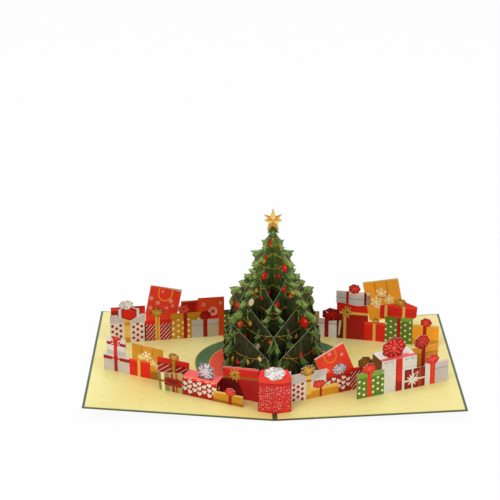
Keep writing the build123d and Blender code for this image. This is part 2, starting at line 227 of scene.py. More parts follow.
# Printed shapes
def clipped(outline, window):
    """Part of a convex or nearly convex outline inside a convex window, both anticlockwise."""
    result = outline
    for (ax, ay), (bx, by) in zip(window, window[1:] + window[:1]):
        def inside(point):
            return (bx - ax) * (point[1] - ay) - (by - ay) * (point[0] - ax)
        points = result
        result = []
        for first, second in zip(points, points[1:] + points[:1]):
            one, two = inside(first), inside(second)
            if one >= 0:
                result.append(first)
            if (one > 0 > two) or (one < 0 < two):
                share = one / (one - two)
                result.append(tuple(a + share * (b - a) for a, b in zip(first, second)))
        if len(result) < 3:
            return []
    return result


class Sheet:
    """One face pair of a flat sheet, on which printed shapes are laid in layers."""

    def __init__(self, name, origin, run, up, slot="gift_paper", half=pop_sheet / 2, faces=(1, -1)):
        self.name = name
        self.origin = Vector(origin)
        self.run = Vector(run).normalized()
        self.up = Vector(up).normalized()
        self.out = self.run.cross(self.up).normalized()
        self.slot = slot
        self.half = half
        self.faces = faces
        self.shapes = {}

    def point(self, place, off):
        """Point in metres at a place on the sheet, so far off its middle plane."""
        return (self.origin + self.run * place[0] + self.up * place[1] + self.out * off) * MM

    def lay(self, outline, ink_name, layer):
        """Add a closed outline in a colour. A higher layer lies over a lower one."""
        if len(outline) > 2:
            self.shapes.setdefault(ink_name, []).append((outline, layer))

    def build(self):
        """Make one object for each colour on the sheet."""
        for ink_name, shapes in self.shapes.items():
            mesh = bmesh.new()
            for outline, layer in shapes:
                for face in self.faces:
                    top = face * (self.half + ink * (1 + layer))
                    low = face * (self.half - ink_root)
                    upper = [mesh.verts.new(self.point(place, top)) for place in outline]
                    lower = [mesh.verts.new(self.point(place, low)) for place in outline]
                    sides = [upper, lower[::-1]]
                    for index in range(len(outline)):
                        after = (index + 1) % len(outline)
                        sides.append([upper[after], upper[index], lower[index], lower[after]])
                    for side in sides:
                        mesh.faces.new(side)
            bmesh.ops.recalc_face_normals(mesh, faces=mesh.faces)
            data = bpy.data.meshes.new(self.name + "_" + ink_name)
            mesh.to_mesh(data)
            mesh.free()
            data.materials.append(MATERIALS[ink_name])
            piece = link(self.name + "_" + ink_name, data)
            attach(piece, "root")


def rectangle(left, right, bottom, top):
    """Upright rectangle, anticlockwise."""
    return [(left, bottom), (right, bottom), (right, top), (left, top)]


def disc(x, y, radius, corners=14):
    """Round field with a number of corners, anticlockwise."""
    angles = [2 * pi * step / corners for step in range(corners)]
    return [(x + radius * cos(angle), y + radius * sin(angle)) for angle in angles]


def turned(outline, x, y, angle):
    """Outline turned by an angle about its own origin and moved to a place."""
    along, across = cos(angle), sin(angle)
    return [(x + px * along - py * across, y + px * across + py * along) for px, py in outline]


def heart(x, y, size):
    """Heart as wide as its size, anticlockwise."""
    points = []
    for step in range(18):
        t = 2 * pi * step / 18
        px = 16 * sin(t) ** 3
        py = 13 * cos(t) - 5 * cos(2 * t) - 2 * cos(3 * t) - cos(4 * t)
        points.append((x - px * size / 32, y + (py + 2) * size / 32))
    return points


def tilted_heart(x, y, size):
    """Heart turned a little to one side, as it is strewn."""
    return turned(heart(0, 0, size), x, y, random.uniform(-0.5, 0.5))


def snowflake(x, y, radius, turn):
    """Flake of six arms as one outline: each arm has one pair of side barbs."""
    stem = 0.08 * radius
    half_arm = [(0.2, -0.9), (0.5, -1.0), (0.62, -3.6), (0.76, -3.2), (0.68, -1.0), (0.92, -1.0)]
    arm = half_arm + [(1.0, 0.0)] + [(along, -across) for along, across in half_arm[::-1]]
    shape = [(along * radius, across * stem) for along, across in arm]
    return [point for index in range(6) for point in turned(shape, x, y, turn + index * pi / 3)]


def petal(x, y, angle, length, width, steps=6):
    """Leaf-shaped loop of ribbon from a point outwards."""
    side = [(length * step / steps, width / 2 * sin(pi * (step / steps) ** 0.8)) for step in range(1, steps)]
    outline = [(0.0, 0.0)] + [(px, -py) for px, py in side] + [(length, 0.0)] + side[::-1]
    return turned(outline, x, y, angle)


def scallops(middle, bottom, width, top):
    """Scalloped oval of a ribbon bow, as its sheet is cut."""
    points = []
    corners = 4 * bow_loops
    for corner in range(corners):
        angle = 2 * pi * corner / corners
        share = bow_scallops[corner % 4]
        x = middle + width / 2 * share * cos(angle)
        y = (bottom + top) / 2 + (top - bottom) / 2 * share * sin(angle)
        points.append((x, y))
    return points


# Inks of the bows: ground, loops, light edges and the darker loops among them
BOWS = {
    "red": ("red_deep", "red", "red_pale", "red_deep"),
    "bright": ("red_deep", "red_light", "red_pale", "red"),
    "dark": ("red_dark", "red_deep", "red", "red_dark"),
    "gold": ("gold_dark", "gold", "gold_light", "gold_deep"),
    "silver": ("silver_dark", "silver", "white", "silver_mid"),
    "white": ("white_shade", "snow", "snow", "white_shade"),
    "brown": ("gold_dark", "brown", "gold", "brown"),
}
# Rings of a bow: count of loops, where they start, their length and width, as shares of the bow's size
BOW_RINGS = ((11, 0.24, 0.25, 0.15), (8, 0.1, 0.24, 0.17), (5, 0.0, 0.2, 0.16))
# Mirrored pairs of leaves in a tied bow: lean, length, width, ink in its list, layer
TIED_LEAVES = (
    (-0.32, 0.5, 0.34, 0, 6), (1.0, 0.34, 0.3, 1, 6.5), (0.35, 0.52, 0.44, 1, 7), (0.38, 0.36, 0.2, 0, 7.5),
    (-0.5, 0.46, 0.16, 1, 8),
)
RANK = 10  # layers of print kept for each gift that stands before another


class Wall(Sheet):
    """One half of a gift wall or row. A place on it is (distance from the fold, height above the card)."""

    def __init__(self, name, apex, side, way, set_back=0.0):
        run = (side * cos(wall_angle), way * sin(wall_angle), 0)
        back = Vector((-side * sin(wall_angle), cos(wall_angle), 0)) * set_back
        super().__init__(name, Vector((0, apex, 0)) + back, run, (0, 0, 1))
        self.side = side

    def ground(self, along):
        """Height of the card where the wall stands on it."""
        return surface(self.side * along * cos(wall_angle), paper_top) + seat_gap

    def put(self, outline, ink_name, rank=0, above=0.0):
        """Print a shape on the gift of a rank, so many layers above that gift's ground."""
        standing = [(along, self.ground(along) + height) for along, height in outline]
        self.lay(standing, ink_name, rank * RANK + above)

    def stamp(self, shape, x, y, width, tall, ink_name, rank, above):
        """Print a shape of unit size, stretched to a width and a height."""
        self.put([(x + px * width, y + py * tall) for px, py in shape], ink_name, rank, above)

    def bow(self, middle, box_top, width, top, kind, rank=3, sink=2.0):
        """Ball of ribbon: a dark ground and three rings of loops with light edges."""
        ground, loop, shine, second = BOWS[kind]
        bottom = box_top - sink
        self.put(scallops(middle, bottom, width, top), ground, rank)
        for ring, (count, start, reach, fat) in enumerate(BOW_RINGS):
            for index in range(count):
                angle = 2 * pi * (index + 0.5 * ring + random.uniform(-0.22, 0.22)) / count + 0.3
                length = reach * random.uniform(0.85, 1.0)
                lie = 1 + 2.4 * ring + 0.3 * (index % 3)
                main = random.choice((loop, loop, second))
                for share, wide, name, above in ((1.0, fat, main, 0.0), (0.72, fat * 0.4, shine, 0.9)):
                    leaf = petal(start * cos(angle), start * sin(angle), angle, length * share, wide)
                    self.stamp(leaf, middle, (bottom + top) / 2, width, top - bottom, name, rank, lie + above)

    def burst(self, x, y, width, tall, kind, rank, count, fat):
        """Bow of narrow pointed loops that spread like rays, each light along its middle."""
        ground, loop, shine, second = BOWS[kind]
        self.stamp(disc(0, 0, 0.26, 16), x, y, width, tall, ground, rank, 5.5)
        for ring, (share, turn) in enumerate(((1.0, 0.1), (0.62, 0.4))):
            for index in range(count):
                angle = 2 * pi * (index + random.uniform(-0.2, 0.2)) / count + turn
                size = share * random.uniform(0.82, 1.0)
                lie = 6 + 1.8 * ring + 0.2 * (index % 2)
                for start, length, wide, name, above in (
                    (0.0, 0.5, fat, random.choice((ground, second)), 0.0),
                    (0.1, 0.38, fat * 0.6, loop, 0.4), (0.16, 0.3, fat * 0.34, shine, 0.8),
                ):
                    leaf = turned(petal(start * size, 0, 0, length * size, wide), 0, 0, angle)
                    self.stamp(leaf, x, y, width, tall, name, rank, lie + above)
        self.stamp(disc(0, 0, 0.06, 8), x, y, width, tall, ground, rank, 10)

    def tied_bow(self, x, y, width, tall, kind, rank):
        """Flat bow with two loops, two tails and a knot."""
        for lean, length, wide, colour, above in TIED_LEAVES:
            for angle in (lean, pi - lean):
                leaf = petal(0, 0, angle, length, wide)
                self.stamp(leaf, x, y, width, 1.5 * tall, BOWS[kind][colour], rank, above)
        self.stamp(disc(0, 0, 0.1), x, y, width, tall, BOWS[kind][3], rank, 8.5)

    def band(self, left, right, bottom, top, name, rank=0, above=5.0):
        """Field across a gift."""
        self.put(rectangle(left, right, bottom, top), name, rank, above)

    def ribbon(self, middle, width, top, name="red_deep", rank=0, shine=None, bottom=0):
        """Ribbon down the front of a box, with a lighter line along it."""
        self.band(middle - width / 2, middle + width / 2, bottom, top, name, rank, 6)
        if shine:
            self.band(middle - width / 4, middle + width / 4, bottom, top, shine, rank, 6.5)

    def box(self, left, right, top, name, rank=0, lid=0.0, lid_name=None, shadow=None,
            far_top=None, bottom=0):
        """Front of a wrapped box with a lid and the lid's shadow. Without a bottom it stands on the card."""
        far_top = far_top or top

        def strip(low, high):
            """Field between two distances down from the top edge."""
            return [(left, top - low), (right, far_top - low), (right, far_top - high), (left, top - high)]

        self.put([(left, bottom), (right, bottom), (right, far_top), (left, top)], name, rank)
        if lid:
            self.put(strip(lid, 0), lid_name or name, rank, 3)
        if shadow:
            self.put(strip(lid + 0.5, lid), shadow, rank, 4)

    def dots(self, left, right, top, name, pitch, radius, rank=0, shape=disc, spread=0.8):
        """Staggered dots, or another small shape, kept inside a field that starts at the card."""
        window = rectangle(left, right, 0, top)
        columns = max(1, round((right - left) / (pitch * spread)))
        for column in range(columns):
            x = left + (column + 0.5) * (right - left) / columns
            for row in range(-1, ceil(top / pitch) + 1):
                y = pitch * (row + 0.3 + 0.5 * (column % 2))
                if 0.5 * radius < y < top - 0.5 * radius:
                    self.put(clipped(shape(x, y, radius), window), name, rank, 2)

    def dot_columns(self, columns, pitch, radius, name, rank, foot=0.8):
        """Dots in columns, each given as (its place, the height of its top dot)."""
        for x, high in columns:
            for row in range(4):
                if high - pitch * row > foot:
                    self.put(disc(x, high - pitch * row, radius), name, rank, 2)

    def stripes(self, left, right, top, name, pitch, width, slope, rank=0):
        """Slanting stripes clipped to such a field. A negative slope rises towards the fold."""
        window = rectangle(left, right, 0, top)
        lean = top / slope
        first, last = left - max(0.0, lean), right - min(0.0, lean)
        for index in range(ceil((last - first) / pitch) + 1):
            x = first + (index + 0.3) * pitch
            bar = [(x, 0), (x + width, 0), (x + width + lean, top), (x + lean, top)]
            self.put(clipped(bar, window), name, rank, 2)

    def round_flake(self, x, y, radius):
        """Round flake of many petals with a dark centre."""
        for index in range(12):
            angle = pi * index / 6
            self.put(petal(x, y, angle, radius, radius * 0.36), "pink", 1, 3 + 0.3 * (index % 2))
            self.put(petal(x, y, angle + 0.26, radius * 0.62, radius * 0.2), "rose", 1, 3.8)
        self.put(disc(x, y, radius * 0.2, 8), "red_deep", 1, 4.2)

    def star_flakes(self, flakes, turn, name, rank, hub):
        """Six-armed flakes with a filled middle, whose radius is given as a share."""
        for x, y, radius in flakes:
            self.put(snowflake(x, y, radius, turn), name, rank, 3)
            self.put(disc(x, y, radius * hub, 8), name, rank, 3.5)

    def bag(self, middle, height, width, tall, lean, name, rank, handle, flakes, flake_name, cord, lip):
        """Leaning gift bag with a printed cord handle, snowflakes and a light lip."""
        turn = radians(lean)
        top = tall / 2
        handle_left, handle_right, drop = handle
        centre, half = (handle_left + handle_right) / 2, (handle_right - handle_left) / 2
        cord_half, cord_end, steps = 0.45, top - 1.5, 10
        loop = []
        for way in (1, -1):
            reach = half + way * cord_half
            angles = [pi + pi * step / steps for step in range(steps + 1)][::way]
            arc = [(centre + reach * cos(angle), top - drop + half + reach * sin(angle)) for angle in angles]
            loop += [(arc[0][0], cord_end)] + arc + [(arc[-1][0], cord_end)]
        front = rectangle(-width / 2, width / 2, -top, top)
        edge = rectangle(-width / 2, width / 2, top - 1.1, top)
        self.put(turned(front, middle, height, turn), name, rank)
        self.put(turned(loop, middle, height, turn), cord, rank, 4)
        self.star_flakes(flakes, turn + 0.3, flake_name, rank, 0.3)
        self.put(turned(edge, middle, height, turn), lip, rank, 5)


back_left = Wall("back_wall_left", back_apex, -1, -1)
back_right = Wall("back_wall_right", back_apex, 1, -1)
front_left = Wall("front_wall_left", front_apex, -1, 1)
front_right = Wall("front_wall_right", front_apex, 1, 1)
row_left = Wall("front_row_left", front_apex - row_gap_left, -1, 1)
row_right = Wall("front_row_right", front_apex - row_gap_right, 1, 1)

# Back wall, left half
w = back_left
w.box(2.5, 36.5, 20, "red_deep", 0, 5, "red")
w.box(35.5, 48, 23.7, "green", 0, 4, "green_deep")
w.dots(37, 48, 19, "cream", 4.8, 0.9)
w.box(60, 82, 34.4, "red_deep")
w.band(66.7, 69.4, 0, 34.4, "red", 0, 2)
w.band(69.4, 82, 33.3, 34.4, "gold", 0, 3)
w.box(43, 66.7, 36.1, "orange", 1)
w.band(43, 66.7, 34.6, 36.1, "red_light", 1, 1)
for x, y, radius in ((53.3, 23.2, 4.8), (61.8, 29.9, 2.0), (46.4, 30.4, 1.8)):
    w.round_flake(x, y, radius)
w.bag(98, 32, 28, 32, 12, "red_light", 1, (-6.0, 6.0, 12.0),
      ((109.3, 30.2, 2.0), (108.3, 38.7, 2.1), (102.5, 34.2, 2.2), (98, 44.2, 1.4), (91, 35, 2.3),
       (89.5, 30.6, 1.6), (95, 29.2, 1.6)), "pink", "gold_warm", "red_pale")
w.put(turned([(-14, 16), (-14, 13.8), (3, 16)], 98, 32, radians(12)), "taupe", 1, 6)
w.box(64, 91.6, 23.4, "gold", 2, 4.8, "gold", "gold_deep")
w.dots(64.2, 91.6, 18.2, "cream", 5.3, 1.25, 2)
w.ribbon(78.3, 3.5, 23.4, rank=2)
w.burst(79.6, 27.0, 13, 10.5, "red", 3, 13, 0.2)
w.box(48.2, 72.7, 16.1, "taupe", 3, 4.4, "white_shade", "grey")
w.band(62.4, 72.7, 0, 11.4, "white_shade", 3, 1)
w.ribbon(60.4, 3.8, 16.1, rank=3)
w.band(49, 57, 17, 19.2, "red", 3, 7)
w.bow(60.3, 18.2, 11, 24.1, "dark", 4)
w.box(90.6, 115, 18.7, "red_deep", 2, 3.6, "red")
w.stripes(90.6, 113.6, 15.1, "white_pink", 3.4, 0.75, -1.08, 2)
w.ribbon(103.3, 3.7, 22, "gold_light", 2, "gold")
w.bow(103.4, 23.5, 12.2, 29.8, "gold", 3)
w.box(114, 144, 32.5, "red", 1, bottom=19)
w.put([(138, 23.8), (143.6, 25.8), (143.6, 29.6), (136, 28.6)], "red_deep", 1, 1)
w.put([(136, 28.6), (143.6, 29.6), (143.9, 31.5), (140, 32.5), (135.5, 31.4)], "red_light", 1, 1)
w.box(113.5, 145, 25.4, "white", 2)
w.put([(145, 17.9), (145, 25.4), (137.7, 23.8), (132.8, 21.4), (132.8, 17.9)][::-1], "white_shade", 2, 4)
w.put([(127, 17.2), (126.6, 18.7), (114.5, 25.2), (114.5, 17.2)], "white_shade", 2, 4)
w.dot_columns(((143, 15.5), (139.4, 13.2), (135.8, 15.8), (124.6, 13.7), (121, 16.3), (117.3, 13.9)),
              5, 1.4, "red_deep", 2, 1)
w.ribbon(130, 5.2, 21.5, "gold_light", 2)
w.band(127.4, 132.6, 15.6, 18.4, "gold", 2, 7)
w.band(127.4, 132.6, 0, 4.5, "gold", 2, 7)
w.put([(118, 25.2), (127, 19.6), (138.5, 24), (138.5, 30), (129.7, 32.5), (118, 32)], "red_deep", 2, 7.4)
w.put([(122.4, 23.4), (127, 20.8), (134, 23), (134.2, 28.4), (129.7, 30.2), (122.6, 28.6)], "red", 2, 8)
w.put([(123.6, 28.2), (130, 29.8), (133.6, 28.2), (129.8, 31.2)], "red_light", 2, 8.3)
for x in (120.4, 136.3):
    w.band(x - 1.2, x + 1.2, 23.0, 30.6, "white", 2, 8.6)
    w.put([(x - 1.2, 29.4), (x + 1.2, 29.4), (131 + (x - 128) * 0.4, 32.6), (130 + (x - 128) * 0.4, 32.8)],
          "white", 2, 8.8)
w.bow(130.5, 32.5, 13.2, 38.2, "white", 3, 2.6)

# Back wall, right half
w = back_right
w.box(2.5, 34.5, 20, "red_deep", 0, 5, "red")
w.box(33.5, 44.5, 23.2, "gold", 0, 5, "gold_light", "gold_deep")
w.box(60.2, 88.1, 33, "red_deep", 0, 8.2, "red")
w.band(60.2, 88.1, 22.3, 24.9, "gold_light")
w.band(60.2, 88.1, 22.3, 22.9, "gold_deep", 0, 5.5)
w.ribbon(67.4, 3.2, 22.6, "gold", 0, "gold_light")
w.put([(59.5, 33.9), (78, 30.8), (89.7, 32.5), (89.7, 43.7), (59.5, 43.7)], "white_shade", 1)
w.put([(59.5, 42.0), (78, 40.9), (89.7, 41.8), (89.7, 43.7), (59.5, 43.7)], "white_pink", 1, 2)
w.put([(59.5, 37.6), (78, 36.6), (89.7, 37.4), (89.7, 38.0), (78, 37.2), (59.5, 38.2)], "grey", 1, 3)
w.put([(68.3, 32.6), (70.6, 32.2), (70.6, 43.7), (68.3, 43.7)], "red_deep", 1, 6)
w.put([(84.2, 32.0), (86.2, 32.3), (86.2, 43.7), (84.2, 43.7)], "red_dark", 1, 6)
w.bow(75.5, 43.7, 11, 50.8, "red", 2)
w.burst(69.5, 24.5, 12.5, 14.8, "gold", 2, 10, 0.14)
w.box(43.7, 60.3, 17, "snow", 2, 4.4, "white", "grey")
w.box(60.3, 66, 17, "red_dark", 2)
w.put([(61.6, 2.6), (63.0, 2.6), (64.6, 16.4), (62.4, 16.4)], "white_pink", 2, 5)
w.ribbon(51.2, 3.7, 17, rank=2)
w.bow(55.7, 17, 18.5, 27.3, "dark", 3)
w.put(petal(52.6, 22, 2.4, 3.4, 1.2), "white_pink", 4)
w.bag(101.3, 38.7, 31.3, 35.3, 11.5, "gold_warm", 1, (-5.7, 4.9, 15.8),
      ((99, 44.0, 5.6), (95, 36, 5.6), (106, 39.4, 4.8), (98, 33, 3.4)), "cream", "copper", "gold_light")
w.box(84.9, 103.4, 17.4, "red", 3, 2.4, "red_light")
w.ribbon(93.8, 2.9, 17.4, "gold", 3, "gold_light")
w.bow(94.8, 17.4, 6.2, 21.4, "gold", 4, 1.6)
w.put([(98.4, 22.0), (127, 22.9), (130.2, 25.1), (130.8, 34.2), (122, 37.2), (103, 34.5), (98.4, 33.6)],
      "red", 2)
w.put([(103, 33.2), (120, 31.6), (130.8, 32.4), (130.8, 34.2), (122, 37.2), (103, 34.5)], "red_light", 2, 1)
w.put([(98.4, 27.0), (120, 26.4), (130.4, 28.0), (130.4, 28.6), (120, 27.0), (98.4, 27.6)], "red_deep", 2, 2)
w.put([(98.4, 21.6), (127, 22.9), (130.2, 25.1), (127, 23.8), (106, 22.6)], "red_dark", 2, 3)
for x in (103.6, 119.2):
    w.band(x - 1.15, x + 1.15, 22.6, 34, "gold_light", 2, 5)
w.bow(116.2, 36, 10.5, 40.7, "gold", 3, 2.6)
w.box(103.2, 127.3, 23.7, "green", 3)
w.band(117, 127.3, 20.6, 23.7, "green_light", 3, 1)
w.dots(102, 127.3, 20.5, "cream", 5.2, 0.95, 3, spread=0.76)
w.ribbon(115.2, 3.2, 22.8, rank=3)
w.box(127.2, 150, 18.5, "gold_warm", 3)
w.band(127.2, 150, 0, 5.5, "gold", 3, 1)
w.band(127.2, 150, 17.0, 18.5, "gold_light", 3, 2)
w.ribbon(137.9, 3.1, 17.4, rank=3)
w.bow(138.8, 18.5, 10.4, 25, "red", 4)

# Front wall, left half
w = front_left
w.box(2.5, 13.2, 27, "red_dark")
w.box(13, 42.4, 28.6, "red_wall", 0, 8.0, "red", far_top=25.1)
# Painted shadow cast by the front row's deep box on the lower part of this box
w.put([(24, 0), (42.4, 0), (42.4, 14.8), (31, 16.4)], "red_dark", 0, 1)
w.put([(13, 26.6), (42.4, 23.6), (42.4, 25.1), (13, 28.6)], "red_pale", 0, 3.5)
w.put([(13, 18.6), (42.4, 15.2), (42.4, 17.2), (13, 20.6)], "gold_deep", 0, 5)
w.burst(33, 19.6, 13, 14, "gold", 1, 10, 0.12)
w.box(42.2, 72.6, 15.6, "red")
w.box(94.3, 121.3, 27.6, "gold", 0, far_top=28.5)
w.band(94.3, 121.3, 0, 7, "gold_deep", 0, 1)
for x in (103.4, 112.9):
    w.put([(x - 0.5, 20.6), (x + 0.7, 20.6), (x + 0.3, 27.2), (x - 0.7, 27.2)], "copper", 0, 4)
w.star_flakes(((108.7, 19.2, 4.8), (114.1, 17.4, 3.0), (103, 14.2, 3.4), (99, 11.5, 2.6)),
              0.3, "cream", 0, 0.32)
w.box(71.9, 99.2, 21.3, "red_deep", 1, 4.8, "red", "red_dark")
w.stripes(71.9, 99.2, 16.2, "white_pink", 5.2, 0.85, -0.75, 1)
w.ribbon(85.3, 3.9, 21.3, "brown", 1, "gold")
w.bow(85.1, 21.3, 9.4, 26.9, "gold", 2, 1.4)
w.box(105.8, 124.2, 14.1, "red", 1, 1.6, "red_light")
w.ribbon(115.6, 2.9, 14.1, "gold", 1, "gold_light")
w.box(123.9, 146.7, 17.5, "white", 1, far_top=14.8)
w.band(123.9, 146.7, 0, 9.7, "white_shade", 1, 1)
w.band(123.9, 146.7, 9.7, 12.7, "red_deep", 1)
w.box(126.9, 143.6, 29.2, "white", 2, bottom=14)
w.band(126.9, 143.6, 14, 18.2, "white_shade", 2, 1)
w.band(126.9, 143.6, 22.8, 25.4, "red_deep", 2)
w.ribbon(135.9, 3.0, 15, rank=1)
w.ribbon(135.9, 3.0, 29.2, "red", 2, bottom=14)
for y in (11.4, 25.6):
    w.tied_bow(135.8, y, 9.4, 4.4, "red", 3)
    for angle in (2.75, 0.4, -0.5, -2.65):
        w.put(petal(135.8 + 1.6 * cos(angle), y + 1.6 * sin(angle), angle, 3.2, 1.0), "white_pink", 3, 9)
w.bow(135, 29.2, 9, 30.9, "red", 3)

# Front wall, right half
w = front_right
w.box(2.5, 13.2, 23, "white_shade")
w.bag(50.8, 26.3, 26.4, 26, 22.5, "red_light", 0, (-5.3, 4.4, 11.0),
      ((46.6, 35.2, 1.8), (57.2, 33.0, 1.7), (45.4, 21.0, 1.5), (60, 22, 1.5)), "pink", "gold", "pink")
w.box(13, 44.8, 23.4, "white", 1)
w.dot_columns(((16.4, 14.8), (20.1, 12.4), (23.8, 14.4), (34.8, 13.4)), 4.4, 1.35, "red_deep", 1)
w.band(13, 27.0, 15.2, 23.4, "white_shade", 1, 4)
w.put([(31.3, 14.2), (44.8, 18.8), (44.8, 23.4), (31.3, 23.4)], "white_shade", 1, 4)
w.ribbon(29.2, 4.4, 23.0, "gold_light", 1)
w.band(27.0, 31.4, 14.6, 16.6, "gold_deep", 1, 7)
w.band(27.0, 31.4, 0, 4.0, "gold", 1, 7)
w.bow(28.6, 21.9, 13, 29.4, "gold", 2)
w.box(44.0, 70, 18.8, "red_deep", 1, 3.4, "red")
w.dots(44.4, 65.5, 15.4, "white", 4.4, 3.9, 1, tilted_heart, 0.95)
w.box(65.5, 76.5, 19, "red_deep", 2)
w.stripes(65.5, 76.5, 16, "white_pink", 3.4, 0.8, 1.1, 2)
w.put([(65.5, 16.2), (76.5, 17.6), (76.5, 19), (65.5, 19)], "red", 2, 3)
w.bow(55.6, 17.4, 12.9, 25.8, "silver", 3)
w.bow(77.4, 19.1, 12.1, 27.1, "brown", 3)
w.box(31.4, 55, 9.2, "gold", 2)
w.band(31.4, 55, 6.2, 9.2, "gold_light", 2, 2)
w.ribbon(39.6, 1.9, 8.6, rank=2)
w.bow(38.2, 9.6, 11.8, 14.8, "bright", 3)
w.box(76.2, 119.2, 23.4, "white_shade", 0, 5, "grey")
w.box(119, 142.6, 25.4, "gold", 1, 5.5, "gold_warm", "gold_deep")
w.ribbon(129.5, 3.4, 25.4, rank=1)
w.bow(128, 25.4, 14, 35.9, "red", 2)

# Front rows
w = row_left
w.put([(77, 0), (97, 0), (98.5, 14.4), (77, 17.4)], "kraft", 1)
w.put([(94.8, 0), (97, 0), (98.5, 14.4), (95.8, 14.8)], "olive", 1, 1)
w.put([(92.4, 0), (94.8, 0), (95.8, 14.8), (93.2, 15.2)], "cream", 1, 1)
w.put([(88.4, 0), (91.4, 0), (92.4, 15.2), (89.0, 15.7)], "olive", 1, 1)
w.put([(81.0, 0), (83.2, 0), (83.4, 16.5), (81.2, 16.8)], "gold_deep", 1, 1)
w.put([(77, 7.6), (97.5, 7.2), (97.7, 8.8), (77, 9.2)], "brown", 1, 5)
w.put([(83.6, 0), (85.8, 0), (87.2, 15.9), (85.6, 16.2)], "red_deep", 1, 6)
w.tied_bow(85.2, 8.0, 16.5, 9.5, "dark", 2)
w.box(48.2, 77.3, 15.5, "red_deep", 1, 1.9, "red_light")
w.dots(48.4, 77.2, 14.2, "white", 4.3, 4.1, 1, tilted_heart, 1.0)
for x in (51.5, 56.5, 63.5, 70.5, 74.5):
    w.put([(x - 1.4, 14.7), (x + 1.3, 14.4), (x + 1.5, 15.0), (x - 1.1, 15.3)], "white_pink", 1, 5)
w.box(26.2, 51, 9.2, "gold", 2)
w.put([(26.2, 8.2), (51, 7.6), (51, 9.2), (26.2, 9.2)], "gold_light", 2, 2)
w.band(26.2, 51, 0, 2.6, "gold_deep", 2, 1)
w.ribbon(37, 2.7, 8.6, rank=2)
w.bow(37, 9.2, 9.4, 14.2, "bright", 3)

w = row_right
w.box(69.5, 93, 21.6, "green_light", 1)
w.band(69.5, 93, 0, 17.4, "green", 1, 1)
w.dot_columns(((71.6, 14.6), (75.6, 12.8), (83.6, 13.6), (87.6, 15.6), (91.6, 13.4)), 5, 1.05, "cream", 1)
w.ribbon(80.3, 3.5, 21.6, "red", 1, "red_light")
w.bow(80, 21.6, 12.4, 29.1, "bright", 2)
w.box(91, 121.4, 28, "white", 1)
w.band(91, 121.4, 18.6, 19.2, "white_shade", 1, 3)
for x in (94.6, 99.6, 112.4, 117.6):
    w.band(x - 1.5, x + 1.5, 26.0, 26.6, "grey", 1, 3)
w.ribbon(106, 5.8, 28, rank=1)
w.band(104, 108.9, 8, 28, "red", 1, 7)
w.box(111, 129, 16.6, "red_dark", 2)
for field in ((112.4, 116.4, 9.6, 15.4), (119.6, 127.8, 9.0, 15.4), (112.4, 116.4, 1.2, 5.2),
              (120.4, 127.8, 1.2, 6.2)):
    w.band(*field, "red_deep", 2, 1)
w.band(124.2, 124.9, 0, 16, "gold_deep", 2, 2)
w.put([(111, 5.8), (129, 6.8), (129, 8.2), (111, 7.6)], "white_pink", 2, 3)
w.band(117.2, 118.6, 0, 16.6, "white_pink", 2, 3)
for index in range(10):
    w.put(petal(118, 7.4, 2 * pi * index / 10 + 0.2, 5.8, 1.5), "white", 2, 4 + 0.3 * (index % 2))
w.put(petal(118, 7.4, 0.9, 8.2, 3.4), "white", 2, 5)
w.put(petal(119, 8.7, 0.9, 5.4, 1.8), "red_dark", 2, 5.4)
w.put(disc(118, 7.4, 1.0), "white_shade", 2, 5.8)
w.box(128.8, 149.8, 18.9, "white", 1)
w.band(138, 149.8, 0, 18.9, "white_shade", 1, 1)
w.band(128.8, 149.8, 17.6, 18.9, "white_pink", 1, 2)
w.band(138, 149.8, 12.4, 12.9, "grey", 1, 3)
w.ribbon(135.7, 4.4, 18.4, "red", 1, "red_light")
w.bow(135.3, 18.9, 12.2, 25.9, "bright", 2)

walls = [back_left, back_right, front_left, front_right, row_left, row_right]


# The two deep boxes of the front rows: their lids, their ends and the bows that stand on them
def deep_box(name, side, row_gap, box, bow, kind, inks):
    """A box is (start, end, top) along its row, and its bow is (middle, width, top)."""
    start, end, top = box
    middle, width, bow_top = bow
    # Inks of the lid, its front band, the painted shadow of the bow and the ends; the ends are painted
    # darker, as sides in shade
    lid_ink, band_ink, patch_ink, shaded_end_ink = inks
    edge_gap = 0.2  # bare strip along the folds
    rim = 4.4  # band along the lid's front edge
    patch_low, patch_high = 3.6, 7.0  # shade of the bow on the lid
    standing = Wall(name + "_bow", front_apex - row_gap, side, 1, lid_bow_back)
    standing.bow(middle, top, width, bow_top, kind, 0)
    depth = row_gap * cos(wall_angle) - pop_sheet / 2 - seat_gap
    back = Vector((-side * sin(wall_angle), cos(wall_angle), 0))
    first, last = (
        standing.origin - back * lid_bow_back + standing.run * place + standing.up * standing.ground(place)
        for place in (start, end)
    )
    length = (last - first).length
    lid = Sheet(name + "_lid", first + standing.up * top, last - first, back, half=0.0, faces=(side,))
    lid.lay(rectangle(0, length, edge_gap, depth), lid_ink, 0)
    lid.lay(rectangle(0, length, edge_gap, rim), band_ink, 1)
    lid.lay(rectangle(width * 0.35, width * 1.2, patch_low, patch_high), patch_ink, 2)
    walls.extend((standing, lid))
    for corner, face in ((first, -side), (last, side)):
        flank = Sheet(name + "_end" + str(face + 2), corner, back, (0, 0, 1), half=0.0, faces=(face,))
        # Ends painted darker than the box, as its sides in shade
        flank.lay(rectangle(edge_gap, depth, 0, top), shaded_end_ink, 0)
        if side < 0:
            flank.lay(heart(5.0, 9.0, 3.4), "pink", 1)
        walls.append(flank)


deep_box("row_left_box", -1, row_gap_left, (48.2, 77.3, 15.5), (59.3, 14.8, 29.0), "silver",
         ("rose", "red_pale", "red_dark", "red_dark"))
deep_box("row_right_box", 1, row_gap_right, (91.0, 121.4, 28.0), (103.2, 21.5, 45.0), "red",
         ("white", "rose", "rose", "brown"))
for wall in walls:
    wall.build()


# The box over the fold
crease_gap = 0.06  # bare strip beside the crease of its front
lid_band = 4.5  # height of its lid's rim
fleck_columns = 8
fleck_rows = 13
fleck_pitch = 1.55
fleck_row_pitch = 1.6
fleck_half = 0.42
fleck_half_width = 0.2


